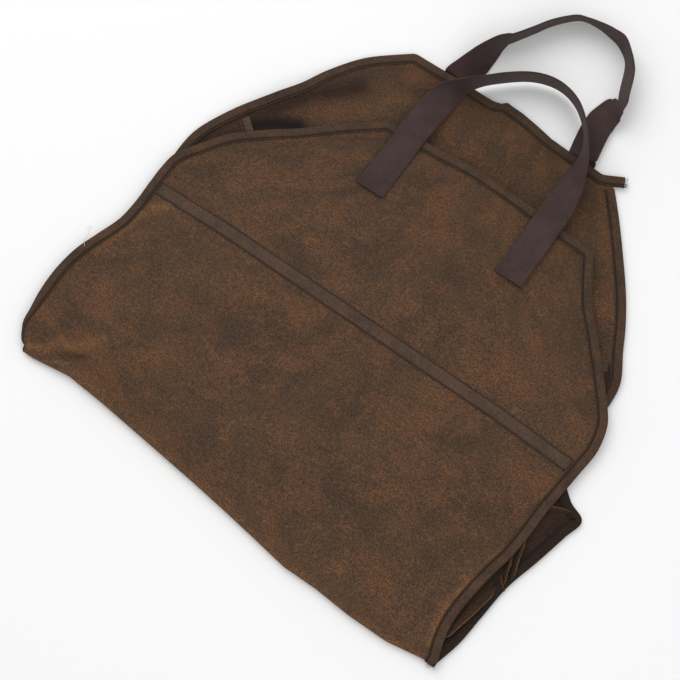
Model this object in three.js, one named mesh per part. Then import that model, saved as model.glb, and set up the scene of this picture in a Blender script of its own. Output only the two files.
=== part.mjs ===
// Canvas log carrier, folded flat and lying on a surface
// Millimetres, +Z up, +X across the bag, +Y from the bottom fold towards the handles.
import * as THREE from 'three';

// Canvas sheet: one strip that runs from the front top edge round the bottom fold to the back top edge
const BODY_WIDTH = 620;
const FRONT_PANEL = 280;
const FRONT_FLAP = 235;
const BACK_PANEL = 350;
const BACK_FLAP = 265;
const CANVAS = 1.2;
const FOLD_REACH = 6;

// Tapes and webbing
const BINDING_WIDTH = 12;
const BINDING_WALL = 1;
const SEAM_TAPE_WIDTH = 18;
const SEAM_TAPE_WALL = 1;
const WEBBING_WIDTH = 38;
const WEBBING_WALL = 2;
const HANDLE_SEWN = 95;
const FRAYED_END = 3;
const FRAYED_RISE = 14;

// End panels, folded inwards between the layers
const END_FOLD = 185;
const END_FOLD_LAST = 46;
const END_FOLD_RADIUS = 3.2;
const END_FOLD_RADIUS_LAST = 1.6;
const END_SAG = 95;

// How the layers lie
const GAP = 0.3;
const FRONT_CREST = 21;
const SLOPE_RUN = 110;
const FLAP_DROP = 5;
const LIFT_RUN = 26;
const BOTTOM_BULGE = 10.5;
const FLAP_LIFT = 2.5;
const REST_SPARE = 0.1;

// Fineness of the facets
const ROW_STEPS = 2;
const INNER_COLUMNS = 12;
const FOLD_STEPS = 4;

// Worked out from the sizes above
const HALF_WIDTH = BODY_WIDTH / 2;
const HALF_CANVAS = CANVAS / 2;
const BORDER = BINDING_WIDTH + 2;
const BINDING_REACH = GAP + BINDING_WALL;
const PLY = CANVAS + GAP;
const FRONT_SEAM_Y = FRONT_PANEL;
const BACK_SEAM_Y = BACK_PANEL;
const FRONT_TOP_Y = FRONT_SEAM_Y + FRONT_FLAP;
const BACK_TOP_Y = BACK_SEAM_Y + BACK_FLAP;
const BACK_FLOOR = HALF_CANVAS;
const BACK_EDGE = HALF_CANVAS + BINDING_REACH;
const BACK_ON_HANDLE = HALF_CANVAS + GAP + WEBBING_WALL;
const BACK_TOP_EDGE = BACK_ON_HANDLE + BINDING_REACH;
const FRONT_EDGE = BACK_EDGE + 2 * (HALF_CANVAS + PLY + BINDING_REACH) + GAP;
const END_LOW = BACK_ON_HANDLE + 2 * HALF_CANVAS + GAP + BINDING_REACH + GAP;
const END_LOW_LAST = BACK_EDGE + PLY + GAP;
const TAPE_HALF = SEAM_TAPE_WIDTH / 2 + 1;

// Edge places of the sheet. left and right: share of half the width.
// leftUp and rightUp: share of the region's height, 0 at its lower line and 1 at its upper line.
// wave: how much of the bottom fold's line the row follows. bow: rise of its middle, share of the width.
const FRONT_PANEL_ROWS = [
  { left: -0.958, leftUp: 0.118, right: 0.984, rightUp: 0.014, wave: 1.00, bow: 0 },
  { left: -1.024, leftUp: 0.186, right: 0.958, rightUp: 0.107, wave: 0.65, bow: 0 },
  { left: -1.045, leftUp: 0.275, right: 0.948, rightUp: 0.207, wave: 0.42, bow: 0 },
  { left: -1.058, leftUp: 0.364, right: 0.955, rightUp: 0.321, wave: 0.26, bow: 0 },
  { left: -1.061, leftUp: 0.471, right: 0.971, rightUp: 0.436, wave: 0.15, bow: 0 },
  { left: -1.048, leftUp: 0.586, right: 0.990, rightUp: 0.536, wave: 0.08, bow: 0 },
  { left: -1.016, leftUp: 0.696, right: 1.000, rightUp: 0.650, wave: 0.03, bow: 0 },
  { left: -0.984, leftUp: 0.804, right: 1.003, rightUp: 0.764, wave: 0, bow: 0 },
  { left: -0.976, leftUp: 0.911, right: 1.013, rightUp: 0.875, wave: 0, bow: 0 },
  { left: -0.979, leftUp: 1.014, right: 1.023, rightUp: 0.989, wave: 0, bow: 0 },
];
const FRONT_FLAP_ROWS = [
  { left: -0.979, leftUp: 0.119, right: 1.032, rightUp: 0.128, wave: 0, bow: 0 },
  { left: -0.966, leftUp: 0.221, right: 1.013, rightUp: 0.255, wave: 0, bow: 0 },
  { left: -0.913, leftUp: 0.332, right: 0.977, rightUp: 0.336, wave: 0, bow: 0 },
  { left: -0.842, leftUp: 0.464, right: 0.906, rightUp: 0.451, wave: 0, bow: 0 },
  { left: -0.729, leftUp: 0.596, right: 0.845, rightUp: 0.545, wave: 0, bow: 0 },
  { left: -0.626, leftUp: 0.702, right: 0.784, rightUp: 0.638, wave: 0, bow: 0 },
  { left: -0.516, leftUp: 0.834, right: 0.697, rightUp: 0.766, wave: 0, bow: 0.003 },
  { left: -0.377, leftUp: 0.983, right: 0.603, rightUp: 0.970, wave: 0, bow: 0.006 },
];
const BACK_PANEL_ROWS = [
  { left: -0.958, leftUp: 0.095, right: 0.984, rightUp: 0.011, wave: 1.00, bow: 0 },
  { left: -0.988, leftUp: 0.160, right: 1.010, rightUp: 0.103, wave: 0.65, bow: 0 },
  { left: -1.008, leftUp: 0.257, right: 1.023, rightUp: 0.214, wave: 0.36, bow: 0 },
  { left: -1.012, leftUp: 0.371, right: 1.039, rightUp: 0.343, wave: 0.18, bow: 0 },
  { left: -1.000, leftUp: 0.500, right: 1.078, rightUp: 0.471, wave: 0.08, bow: 0 },
  { left: -0.981, leftUp: 0.600, right: 1.110, rightUp: 0.590, wave: 0.02, bow: 0 },
  { left: -0.971, leftUp: 0.686, right: 1.128, rightUp: 0.665, wave: 0, bow: 0 },
  { left: -0.969, leftUp: 0.771, right: 1.050, rightUp: 0.702, wave: 0, bow: 0 },
  { left: -0.972, leftUp: 0.871, right: 0.972, rightUp: 0.790, wave: 0, bow: 0 },
  { left: -0.977, leftUp: 0.991, right: 0.966, rightUp: 0.986, wave: 0, bow: 0 },
];
const BACK_FLAP_ROWS = [
  { left: -0.968, leftUp: 0.083, right: 0.970, rightUp: 0.083, wave: 0, bow: 0 },
  { left: -0.935, leftUp: 0.181, right: 0.956, rightUp: 0.185, wave: 0, bow: 0 },
  { left: -0.876, leftUp: 0.309, right: 0.899, rightUp: 0.309, wave: 0, bow: 0 },
  { left: -0.801, leftUp: 0.434, right: 0.847, rightUp: 0.426, wave: 0, bow: 0 },
  { left: -0.738, leftUp: 0.545, right: 0.777, rightUp: 0.555, wave: 0, bow: 0 },
  { left: -0.685, leftUp: 0.683, right: 0.688, rightUp: 0.694, wave: 0, bow: 0 },
  { left: -0.598, leftUp: 0.832, right: 0.601, rightUp: 0.823, wave: 0, bow: 0.003 },
  { left: -0.459, leftUp: 0.972, right: 0.508, rightUp: 0.950, wave: 0, bow: 0.004 },
];

// Line of the bottom fold. across: share from its left end. push: share of the width.
const FOLD_LINE = [
  { across: 0.00, push: 0 },
  { across: 0.08, push: 0.0145 },
  { across: 0.17, push: 0.0122 },
  { across: 0.25, push: 0.0080 },
  { across: 0.33, push: 0.0035 },
  { across: 0.42, push: -0.0014 },
  { across: 0.50, push: -0.0072 },
  { across: 0.58, push: -0.0140 },
  { across: 0.67, push: -0.0226 },
  { across: 0.75, push: -0.0187 },
  { across: 0.83, push: -0.0205 },
  { across: 0.92, push: -0.0160 },
  { across: 1.00, push: 0 },
];

// Flap row at which each end panel begins, counted in fine rows above the seam
const SHOULDERS = { left: 6, right: 5 };

// Soft swells of the two layers. across: share of half the width from the middle.
// along: share of the layer's whole length from the fold. wide and long: the swell's reach.
const FRONT_SWELLS = [
  { across: 0.08, along: 1.00, wide: 0.16, long: 0.10, rise: 7 },
  { across: -0.28, along: 0.98, wide: 0.12, long: 0.08, rise: -1.5 },
  { across: 0.46, along: 0.98, wide: 0.10, long: 0.08, rise: -1.5 },
  { across: -0.78, along: 0.10, wide: 0.20, long: 0.07, rise: 4.5 },
  { across: -0.62, along: 0.05, wide: 0.12, long: 0.05, rise: -2.5 },
  { across: 0.70, along: 0.20, wide: 0.12, long: 0.16, rise: 3.5 },
  { across: -0.78, along: 0.44, wide: 0.14, long: 0.08, rise: 3.5 },
  { across: 0.15, along: 0.42, wide: 0.45, long: 0.10, rise: -2 },
];
const BACK_SWELLS = [
  { across: -0.82, along: 0.79, wide: 0.20, long: 0.075, rise: 10 },
];

// End panel across its fold. depth: share of the way from the edge strip to the fold's start.
// nip: how far the panel is drawn away from the outer layer there.
const END_COLUMNS = [
  { depth: 0.10, nip: 1.5 },
  { depth: 0.50, nip: 0 },
  { depth: 1.00, nip: 0 },
];
const END_FOLD_TURN = 3;
const END_ROWS_SHORT = 3;

// Handles. across: share of half the width. up: way past the flap's top edge, share of the loop's
// length. turn: 0 flat, 1 upright on its edge, more than 1 leaning towards the bag.
const FRONT_LOOP = 155;
const FRONT_LOOP_ROWS = [
  { across: -0.251, up: 0.24, turn: 0.05 },
  { across: -0.236, up: 0.41, turn: 0.36 },
  { across: -0.196, up: 0.55, turn: 0.86 },
  { across: -0.150, up: 0.67, turn: 1.04 },
  { across: -0.084, up: 0.80, turn: 1.06 },
  { across: -0.005, up: 0.92, turn: 1.08 },
  { across: 0.074, up: 0.98, turn: 1.09 },
  { across: 0.150, up: 0.98, turn: 1.09 },
  { across: 0.224, up: 0.92, turn: 1.06 },
  { across: 0.291, up: 0.80, turn: 1.02 },
  { across: 0.335, up: 0.66, turn: 0.92 },
  { across: 0.360, up: 0.51, turn: 0.66 },
  { across: 0.374, up: 0.33, turn: 0.32 },
  { across: 0.383, up: 0.16, turn: 0.08 },
];
const FRONT_LEGS = { left: -0.255, right: 0.387 };

// Front legs from the sewn end up. along: share of the sewn length. onBinding: 1 over the binding.
const FRONT_LEG_ROWS = [
  { along: 0.00, onBinding: 0 },
  { along: 0.17, onBinding: 0 },
  { along: 0.34, onBinding: 0 },
  { along: 0.51, onBinding: 0 },
  { along: 0.68, onBinding: 0 },
  { along: 0.80, onBinding: 1 },
  { along: 0.90, onBinding: 1 },
  { along: 1.00, onBinding: 1 },
];
const LEG_ACROSS = [-0.5, -0.25, 0, 0.25, 0.5];
const LEG_SPARE = 0.4;
const BACK_LOOP = 160;
const BACK_LOOP_ROWS = [
  { across: -0.245, up: 0.02, turn: 0 },
  { across: -0.232, up: 0.18, turn: 0.02 },
  { across: -0.206, up: 0.36, turn: 0.16 },
  { across: -0.172, up: 0.49, turn: 0.60 },
  { across: -0.134, up: 0.60, turn: 1.06 },
  { across: -0.092, up: 0.73, turn: 1.16 },
  { across: -0.036, up: 0.88, turn: 1.19 },
  { across: 0.020, up: 0.97, turn: 1.20 },
  { across: 0.090, up: 1.00, turn: 1.20 },
  { across: 0.166, up: 0.98, turn: 1.14 },
  { across: 0.236, up: 0.90, turn: 1.06 },
  { across: 0.292, up: 0.76, turn: 0.97 },
  { across: 0.330, up: 0.60, turn: 0.93 },
  { across: 0.342, up: 0.44, turn: 0.48 },
  { across: 0.338, up: 0.30, turn: 0.10 },
  { across: 0.336, up: 0.16, turn: 0 },
  { across: 0.342, up: 0.02, turn: 0 },
];
const BACK_LEGS = { left: -0.248, right: 0.342 };
const BACK_LEG_ROWS = [{ along: 0 }, { along: 0.5 }, { along: 0.95 }];

// Binding joints: the front ones lie under the handle, the back one shows at the top edge
const FRONT_JOINTS = { left: 3, right: 10 };
const BACK_JOINT = 6;

const MATERIALS = {
  canvas: new THREE.MeshStandardMaterial({ color: 0x54422f, roughness: 0.85, metalness: 0 }),
  binding: new THREE.MeshStandardMaterial({ color: 0x483a2f, roughness: 0.9, metalness: 0 }),
  tape: new THREE.MeshStandardMaterial({ color: 0x50443c, roughness: 0.9, metalness: 0 }),
  webbing: new THREE.MeshStandardMaterial({ color: 0x48393a, roughness: 0.8, metalness: 0 }),
};

// Small helpers

function mix(a, b, share) {
  return a + (b - a) * share;
}

function held(value, most) {
  return Math.min(Math.max(value, 0), most);
}

function smooth(share) {
  const inside = held(share, 1);
  return inside * inside * (3 - 2 * inside);
}

function catmull(a, b, c, d, share) {
  const squared = share * share;
  const cubed = squared * share;
  const bend = 2 * a - 5 * b + 4 * c - d;
  const twist = 3 * b - a - 3 * c + d;
  return (2 * b + (c - a) * share + bend * squared + twist * cubed) / 2;
}

function smoothRows(rows, steps) {
  const fine = [];
  for (let index = 0; index < rows.length - 1; index += 1) {
    const around = [-1, 0, 1, 2].map((shift) => rows[held(index + shift, rows.length - 1)]);
    for (let step = 0; step < steps; step += 1) {
      const row = {};
      for (const key of Object.keys(rows[index])) {
        row[key] = catmull(...around.map((item) => item[key]), step / steps);
      }
      fine.push(row);
    }
  }
  fine.push(rows[rows.length - 1]);
  return fine;
}

function distanceToLine(points, x, y) {
  let least = Infinity;
  for (let index = 0; index < points.length - 1; index += 1) {
    const start = points[index];
    const runX = points[index + 1].x - start.x;
    const runY = points[index + 1].y - start.y;
    const length = runX * runX + runY * runY;
    const share = held(((x - start.x) * runX + (y - start.y) * runY) / length, 1);
    least = Math.min(least, Math.hypot(x - start.x - runX * share, y - start.y - runY * share));
  }
  return least;
}

// Plan of a layer: edge rows in millimetres, from the bottom fold up to the top edge

function placeRows(rows, base, height) {
  return rows.map((row) => ({
    leftX: row.left * HALF_WIDTH,
    leftY: base + row.leftUp * height,
    rightX: row.right * HALF_WIDTH,
    rightY: base + row.rightUp * height,
    wave: row.wave * BODY_WIDTH,
    bow: row.bow * BODY_WIDTH,
  }));
}

function seamNeighbours(row, toward, distance) {
  const leftRun = Math.hypot(toward.leftX - row.leftX, toward.leftY - row.leftY);
  const rightRun = Math.hypot(toward.rightX - row.rightX, toward.rightY - row.rightY);
  return {
    leftX: mix(row.leftX, toward.leftX, distance / leftRun),
    leftY: mix(row.leftY, toward.leftY, distance / leftRun),
    rightX: mix(row.rightX, toward.rightX, distance / rightRun),
    rightY: mix(row.rightY, toward.rightY, distance / rightRun),
    wave: row.wave,
    bow: row.bow,
  };
}

function layerRows(panelTable, panelHeight, flapTable, flapHeight) {
  const controls = [
    ...placeRows(panelTable, 0, panelHeight),
    ...placeRows(flapTable, panelHeight, flapHeight),
  ];
  const fine = smoothRows(controls, ROW_STEPS);
  const seam = (panelTable.length - 1) * ROW_STEPS;
  const below = seamNeighbours(fine[seam], fine[seam - 1], TAPE_HALF);
  const above = seamNeighbours(fine[seam], fine[seam + 1], TAPE_HALF);
  const rows = [...fine.slice(0, seam), below, fine[seam], above, ...fine.slice(seam + 1)];
  return { rows, seam: seam + 1 };
}

function insetPoint(points, index, side) {
  if (index === 0) return { x: points[0].x + side * BORDER, y: points[0].y };
  const before = points[Math.max(index - 1, 0)];
  const after = points[Math.min(index + 1, points.length - 1)];
  const run = Math.hypot(after.x - before.x, after.y - before.y);
  const inwardX = (side * (after.y - before.y)) / run;
  const inwardY = (side * (before.x - after.x)) / run;
  return { x: points[index].x + inwardX * BORDER, y: points[index].y + inwardY * BORDER };
}

function foldPush(share) {
  const next = FOLD_LINE.find((item, index) => index > 0 && item.across >= share);
  const before = FOLD_LINE[FOLD_LINE.indexOf(next) - 1];
  return mix(before.push, next.push, (share - before.across) / (next.across - before.across));
}

// Plan grid of a layer: edge point, edge strip, inner columns, edge strip, edge point
function layerPlan(layer) {
  const left = layer.rows.map((row) => ({ x: row.leftX, y: row.leftY }));
  const right = layer.rows.map((row) => ({ x: row.rightX, y: row.rightY }));
  const grid = layer.rows.map((row, index) => {
    const innerLeft = insetPoint(left, index, 1);
    const innerRight = insetPoint(right, index, -1);
    const line = [left[index]];
    for (let column = 0; column <= INNER_COLUMNS; column += 1) {
      const share = column / INNER_COLUMNS;
      const push = row.wave * foldPush(share) + row.bow * Math.sin(Math.PI * share);
      const y = mix(innerLeft.y, innerRight.y, share) + push;
      line.push({ x: mix(innerLeft.x, innerRight.x, share), y });
    }
    line.push(right[index]);
    return line;
  });
  grid.push(topEdge(grid[grid.length - 1]));
  return { ...layer, left, right, grid };
}

// The top edge lies one edge strip above the last row, with a round corner at each end
function topEdge(line) {
  const last = line.length - 1;
  const edge = line.map((point) => ({ x: point.x, y: point.y + BORDER }));
  edge[0] = roundCorner(line[0], line[1]);
  edge[last] = roundCorner(line[last], line[last - 1]);
  return edge;
}

function roundCorner(side, center) {
  const sumX = (side.x - center.x) / BORDER;
  const sumY = (side.y - center.y) / BORDER + 1;
  const length = Math.hypot(sumX, sumY);
  return { x: center.x + (sumX / length) * BORDER, y: center.y + (sumY / length) * BORDER };
}

// Heights of the middle of the canvas

function swellHeight(swells, height, x, y) {
  let total = 0;
  for (const swell of swells) {
    const across = (x / HALF_WIDTH - swell.across) / swell.wide;
    const along = (y / height - swell.along) / swell.long;
    total += swell.rise * Math.exp(-(across * across + along * along));
  }
  return total;
}

function frontHeight(plan, x, y) {
  const fromSides = Math.min(distanceToLine(plan.left, x, y), distanceToLine(plan.right, x, y));
  const inside = smooth((fromSides - BORDER) / SLOPE_RUN);
  const fromFold = smooth((y - FRONT_PANEL * 0.02) / SLOPE_RUN);
  const flapDrop = FLAP_DROP * smooth((y - FRONT_SEAM_Y) / FRONT_FLAP);
  const crest = mix(BOTTOM_BULGE, FRONT_CREST - flapDrop, fromFold);
  const edge = FRONT_EDGE + FLAP_LIFT * smooth((y - FRONT_SEAM_Y - TAPE_HALF) / (2 * LIFT_RUN));
  const loft = mix(edge, crest, inside);
  return loft + swellHeight(FRONT_SWELLS, FRONT_TOP_Y, x, y) * inside;
}

function backHeight(plan, x, y) {
  const fromSides = Math.min(distanceToLine(plan.left, x, y), distanceToLine(plan.right, x, y));
  const onFlap = smooth((y - BACK_SEAM_Y - TAPE_HALF) / (2 * LIFT_RUN));
  const atTop = smooth((y - BACK_TOP_Y + 2 * BORDER + LIFT_RUN) / LIFT_RUN);
  const atSeam = 1 - smooth((Math.abs(y - BACK_SEAM_Y) - TAPE_HALF) / LIFT_RUN);
  const inner = mix(BACK_FLOOR, mix(BACK_ON_HANDLE, BACK_TOP_EDGE, atTop), onFlap);
  const edge = mix(BACK_EDGE + REST_SPARE * atSeam, BACK_TOP_EDGE, onFlap);
  const atSide = 1 - smooth((fromSides - BORDER) / LIFT_RUN);
  const lifted = mix(inner, edge, Math.max(atSide, atSeam * (1 - onFlap)));
  return lifted + swellHeight(BACK_SWELLS, BACK_TOP_Y, x, y);
}

function liftPlan(plan, heightAt) {
  return plan.grid.map((line) => line.map((point) => {
    return new THREE.Vector3(point.x, point.y, heightAt(plan, point.x, point.y));
  }));
}

// The bottom fold: half an ellipse in each column, from the front layer down to the back layer
function foldRows(frontLine, backLine) {
  const rows = [];
  for (let step = 1; step < FOLD_STEPS; step += 1) {
    const angle = (Math.PI * step) / FOLD_STEPS;
    rows.push(frontLine.map((front, column) => {
      const back = backLine[column];
      const share = (1 - Math.cos(angle)) / 2;
      const point = front.clone().lerp(back, share);
      point.y -= FOLD_REACH * Math.sin(angle);
      return point;
    }));
  }
  return rows;
}

function gridNormals(grid) {
  const lastRow = grid.length - 1;
  const lastColumn = grid[0].length - 1;
  return grid.map((line, row) => line.map((point, column) => {
    const alongRun = grid[held(row + 1, lastRow)][column].clone().sub(grid[held(row - 1, lastRow)][column]);
    const acrossRun = line[held(column + 1, lastColumn)].clone().sub(line[held(column - 1, lastColumn)]);
    return alongRun.cross(acrossRun).normalize();
  }));
}

// Closed solids

function solidGeometry(points, triangles) {
  const geometry = new THREE.BufferGeometry();
  const numbers = points.flatMap((point) => [point.x, point.y, point.z]);
  geometry.setAttribute('position', new THREE.Float32BufferAttribute(numbers, 3));
  geometry.setIndex(triangles.flat());
  return geometry;
}

function shellGeometry(grid, normals, thickness) {
  const rows = grid.length;
  const columns = grid[0].length;
  const outer = grid.flatMap((line, row) => line.map((point, column) => {
    return point.clone().addScaledVector(normals[row][column], thickness / 2);
  }));
  const inner = grid.flatMap((line, row) => line.map((point, column) => {
    return point.clone().addScaledVector(normals[row][column], -thickness / 2);
  }));
  const total = outer.length;
  const at = (row, column) => row * columns + column;
  const triangles = [];
  for (let row = 0; row < rows - 1; row += 1) {
    for (let column = 0; column < columns - 1; column += 1) {
      const corners = [at(row, column), at(row + 1, column), at(row + 1, column + 1), at(row, column + 1)];
      triangles.push([corners[0], corners[1], corners[2]], [corners[0], corners[2], corners[3]]);
      const below = corners.map((index) => index + total);
      triangles.push([below[2], below[1], below[0]], [below[3], below[2], below[0]]);
    }
  }
  const rim = [];
  for (let row = 0; row < rows - 1; row += 1) rim.push(at(row, 0));
  for (let column = 0; column < columns - 1; column += 1) rim.push(at(rows - 1, column));
  for (let row = rows - 1; row > 0; row -= 1) rim.push(at(row, columns - 1));
  for (let column = columns - 1; column > 0; column -= 1) rim.push(at(0, column));
  rim.forEach((start, index) => {
    const end = rim[(index + 1) % rim.length];
    triangles.push([start, start + total, end + total], [start, end + total, end]);
  });
  return solidGeometry([...outer, ...inner], triangles);
}

// A closed section carried along its stations. caps: the section's quads, as corner numbers.
// turned: the sides whose facets take their other diagonal.
function sweepGeometry(sections, caps, turned = []) {
  const count = sections[0].length;
  const triangles = [];
  for (let station = 0; station < sections.length - 1; station += 1) {
    for (let corner = 0; corner < count; corner += 1) {
      const next = (corner + 1) % count;
      const a = station * count + corner;
      const b = station * count + next;
      if (turned.includes(corner)) {
        triangles.push([a, b, a + count], [b, b + count, a + count]);
      } else {
        triangles.push([a, b, b + count], [a, b + count, a + count]);
      }
    }
  }
  const last = (sections.length - 1) * count;
  for (const [a, b, c, d] of caps) {
    triangles.push([c, b, a], [d, c, a]);
    triangles.push([last + a, last + b, last + c], [last + a, last + c, last + d]);
  }
  return solidGeometry(sections.flat(), triangles);
}

function pieceMesh(name, geometry, material) {
  const mesh = new THREE.Mesh(geometry, material);
  mesh.name = name;
  return mesh;
}

// The whole sheet, from the front top edge to the back top edge

const frontPlan = layerPlan(layerRows(FRONT_PANEL_ROWS, FRONT_PANEL, FRONT_FLAP_ROWS, FRONT_FLAP));
const backPlan = layerPlan(layerRows(BACK_PANEL_ROWS, BACK_PANEL, BACK_FLAP_ROWS, BACK_FLAP));
const frontGrid = liftPlan(frontPlan, frontHeight);
const backGrid = liftPlan(backPlan, backHeight);
const frontCount = frontGrid.length;
const sheetGrid = [
  ...frontGrid.slice().reverse(),
  ...foldRows(frontGrid[0], backGrid[0]),
  ...backGrid,
];
const sheetNormals = gridNormals(sheetGrid);
const lastColumn = sheetGrid[0].length - 1;

// Rows of the sheet
const sheetRow = {
  frontTop: 0,
  frontSeam: frontCount - 1 - frontPlan.seam,
  frontFold: frontCount - 1,
  backFold: frontCount - 1 + FOLD_STEPS,
  backSeam: frontCount - 1 + FOLD_STEPS + backPlan.seam,
  backTop: sheetGrid.length - 1,
};

// A stretch of the sheet between two rows, held half a gap short of a seam at either end
function sheetStretch(first, last, shortAtFirst, shortAtLast) {
  const grid = sheetGrid.slice(first, last + 1).map((line) => line.slice());
  const normals = sheetNormals.slice(first, last + 1);
  if (shortAtFirst) grid[0] = pullLine(grid[0], grid[1]);
  if (shortAtLast) grid[grid.length - 1] = pullLine(grid[grid.length - 1], grid[grid.length - 2]);
  return shellGeometry(grid, normals, CANVAS);
}

function pullLine(line, toward) {
  return line.map((point, column) => {
    return point.clone().lerp(toward[column], GAP / 2 / point.distanceTo(toward[column]));
  });
}

// Seam tapes lie on the outside of the canvas, between the two bindings
function seamTape(seamRow) {
  const halfShare = SEAM_TAPE_WIDTH / 2 / TAPE_HALF;
  const lines = [-1, 0, 1].map((side) => {
    const row = seamRow + side;
    return sheetGrid[seamRow].map((point, column) => {
      const share = side === 0 ? 0 : halfShare;
      const normal = sheetNormals[seamRow][column].clone().lerp(sheetNormals[row][column], share);
      normal.normalize();
      const middle = point.clone().lerp(sheetGrid[row][column], share);
      return middle.addScaledVector(normal, HALF_CANVAS + GAP + SEAM_TAPE_WALL / 2);
    });
  });
  const inner = lines.map((line) => line.slice(1, -1));
  const normals = gridNormals(inner);
  return shellGeometry(inner, normals, SEAM_TAPE_WALL);
}

// Binding: a tape folded over the edge. inside: how much cloth lies under its inner lip.

function station(edge, inset, edgeNormal, insetNormal, inside) {
  return { edge, inset, edgeNormal, insetNormal, inside };
}

function sideStation(row, column) {
  const insetColumn = column === 0 ? 1 : lastColumn - 1;
  const shoulder = column === 0 ? SHOULDERS.left : SHOULDERS.right;
  return station(
    sheetGrid[row][column],
    sheetGrid[row][insetColumn],
    sheetNormals[row][column],
    sheetNormals[row][insetColumn],
    holdsEndPanel(row, shoulder) ? PLY : 0,
  );
}

function cornerStation(row, insetRow, column) {
  const insetColumn = column === 0 ? 1 : lastColumn - 1;
  return station(
    sheetGrid[row][column],
    sheetGrid[insetRow][insetColumn],
    sheetNormals[row][column],
    sheetNormals[insetRow][insetColumn],
    0,
  );
}

function topStation(row, insetRow, column) {
  return station(
    sheetGrid[row][column],
    sheetGrid[insetRow][column],
    sheetNormals[row][column],
    sheetNormals[insetRow][column],
    0,
  );
}

function holdsEndPanel(row, shoulder) {
  const onFront = row >= sheetRow.frontSeam - shoulder && row < sheetRow.frontFold;
  const onBack = row > sheetRow.backFold && row <= sheetRow.backSeam + shoulder;
  return onFront || onBack;
}

function bindingSection({ edge, inset, edgeNormal, insetNormal, inside }) {
  const outward = edge.clone().sub(inset);
  outward.normalize();
  const lipShare = BINDING_WIDTH / BORDER;
  const lip = edge.clone().lerp(inset, lipShare);
  const lipNormal = edgeNormal.clone().lerp(insetNormal, lipShare).normalize();
  const outerIn = HALF_CANVAS + GAP;
  const outerOut = outerIn + BINDING_WALL;
  const innerIn = -(HALF_CANVAS + inside + GAP);
  const innerOut = innerIn - BINDING_WALL;
  const atLip = (offset) => lip.clone().addScaledVector(lipNormal, offset);
  const atEdge = (offset, out) => {
    return edge.clone().addScaledVector(edgeNormal, offset).addScaledVector(outward, out);
  };
  return [
    atLip(outerOut),
    atEdge(outerOut, BINDING_REACH),
    atEdge(innerOut, BINDING_REACH),
    atLip(innerOut),
    atLip(innerIn),
    atEdge(innerIn, GAP),
    atEdge(outerIn, GAP),
    atLip(outerIn),
  ];
}

const BINDING_CAPS = [[0, 1, 6, 7], [1, 2, 5, 6], [2, 3, 4, 5]];
const BINDING_TURNED = [2, 4];

// An end station is held back along the edge, half a gap where one length of binding meets the next
function heldBack(here, next, distance) {
  const share = distance / here.edge.distanceTo(next.edge);
  return station(
    here.edge.clone().lerp(next.edge, share),
    here.inset.clone().lerp(next.inset, share),
    here.edgeNormal,
    here.insetNormal,
    here.inside,
  );
}

function bindingGeometry(stations, shortAtStart, shortAtEnd) {
  const last = stations.length - 1;
  const trimmed = stations.slice();
  trimmed[0] = heldBack(stations[0], stations[1], shortAtStart);
  trimmed[last] = heldBack(stations[last], stations[last - 1], shortAtEnd);
  return sweepGeometry(trimmed.map(bindingSection), BINDING_CAPS, BINDING_TURNED);
}

function range(start, end) {
  const step = start <= end ? 1 : -1;
  const numbers = [];
  for (let value = start; value !== end + step; value += step) numbers.push(value);
  return numbers;
}

function bindingLeft() {
  const { backTop } = sheetRow;
  return bindingGeometry([
    ...range(FRONT_JOINTS.left, 1).map((column) => topStation(0, 1, column)),
    cornerStation(0, 1, 0),
    ...range(1, backTop - 1).map((row) => sideStation(row, 0)),
    cornerStation(backTop, backTop - 1, 0),
    ...range(1, BACK_JOINT).map((column) => topStation(backTop, backTop - 1, column)),
  ], GAP / 2, GAP / 2);
}

function bindingRight() {
  const { backTop } = sheetRow;
  return bindingGeometry([
    ...range(backTop - 1, 1).map((row) => sideStation(row, lastColumn)),
    cornerStation(0, 1, lastColumn),
    ...range(lastColumn - 1, FRONT_JOINTS.right).map((column) => topStation(0, 1, column)),
  ], BINDING_WIDTH, GAP / 2);
}

function bindingTopFront() {
  const columns = range(FRONT_JOINTS.right, FRONT_JOINTS.left);
  return bindingGeometry(columns.map((column) => topStation(0, 1, column)), GAP / 2, GAP / 2);
}

// The back top binding runs on past the corner, to its frayed end
function bindingTopBack() {
  const { backTop } = sheetRow;
  const columns = range(BACK_JOINT, lastColumn - 1);
  const stations = columns.map((column) => topStation(backTop, backTop - 1, column));
  const end = stations[stations.length - 1];
  const run = end.edge.clone().sub(stations[stations.length - 2].edge).setLength(BORDER + FRAYED_END);
  run.y += FRAYED_RISE;
  stations.push(station(
    end.edge.clone().add(run),
    end.inset.clone().add(run),
    end.edgeNormal,
    end.insetNormal,
    0,
  ));
  return bindingGeometry(stations, GAP / 2, 0);
}

// End panels: folded inwards, held in the bindings along both layers

function endPanelGrid(side) {
  const column = side < 0 ? 0 : lastColumn;
  const insetColumn = side < 0 ? 1 : lastColumn - 1;
  const shoulder = side < 0 ? SHOULDERS.left : SHOULDERS.right;
  const frontShoulder = sheetRow.frontSeam - shoulder;
  const backShoulder = sheetRow.backSeam + shoulder;
  const count = sheetRow.frontFold - END_ROWS_SHORT - frontShoulder;
  const grid = [];
  for (let index = 0; index <= count; index += 1) {
    const share = Math.max(index - 1, 0) / (count - 1);
    const depth = mix(END_FOLD, END_FOLD_LAST, smooth(share * share));
    const front = stripUnder(frontShoulder + index, column, insetColumn);
    const back = stripUnder(backShoulder - index, column, insetColumn);
    grid.push(endPanelLine(front, back, depth, side, share));
  }
  return grid;
}

function stripUnder(row, column, insetColumn) {
  return [column, insetColumn].map((place) => {
    return sheetGrid[row][place].clone().addScaledVector(sheetNormals[row][place], -PLY);
  });
}

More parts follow.
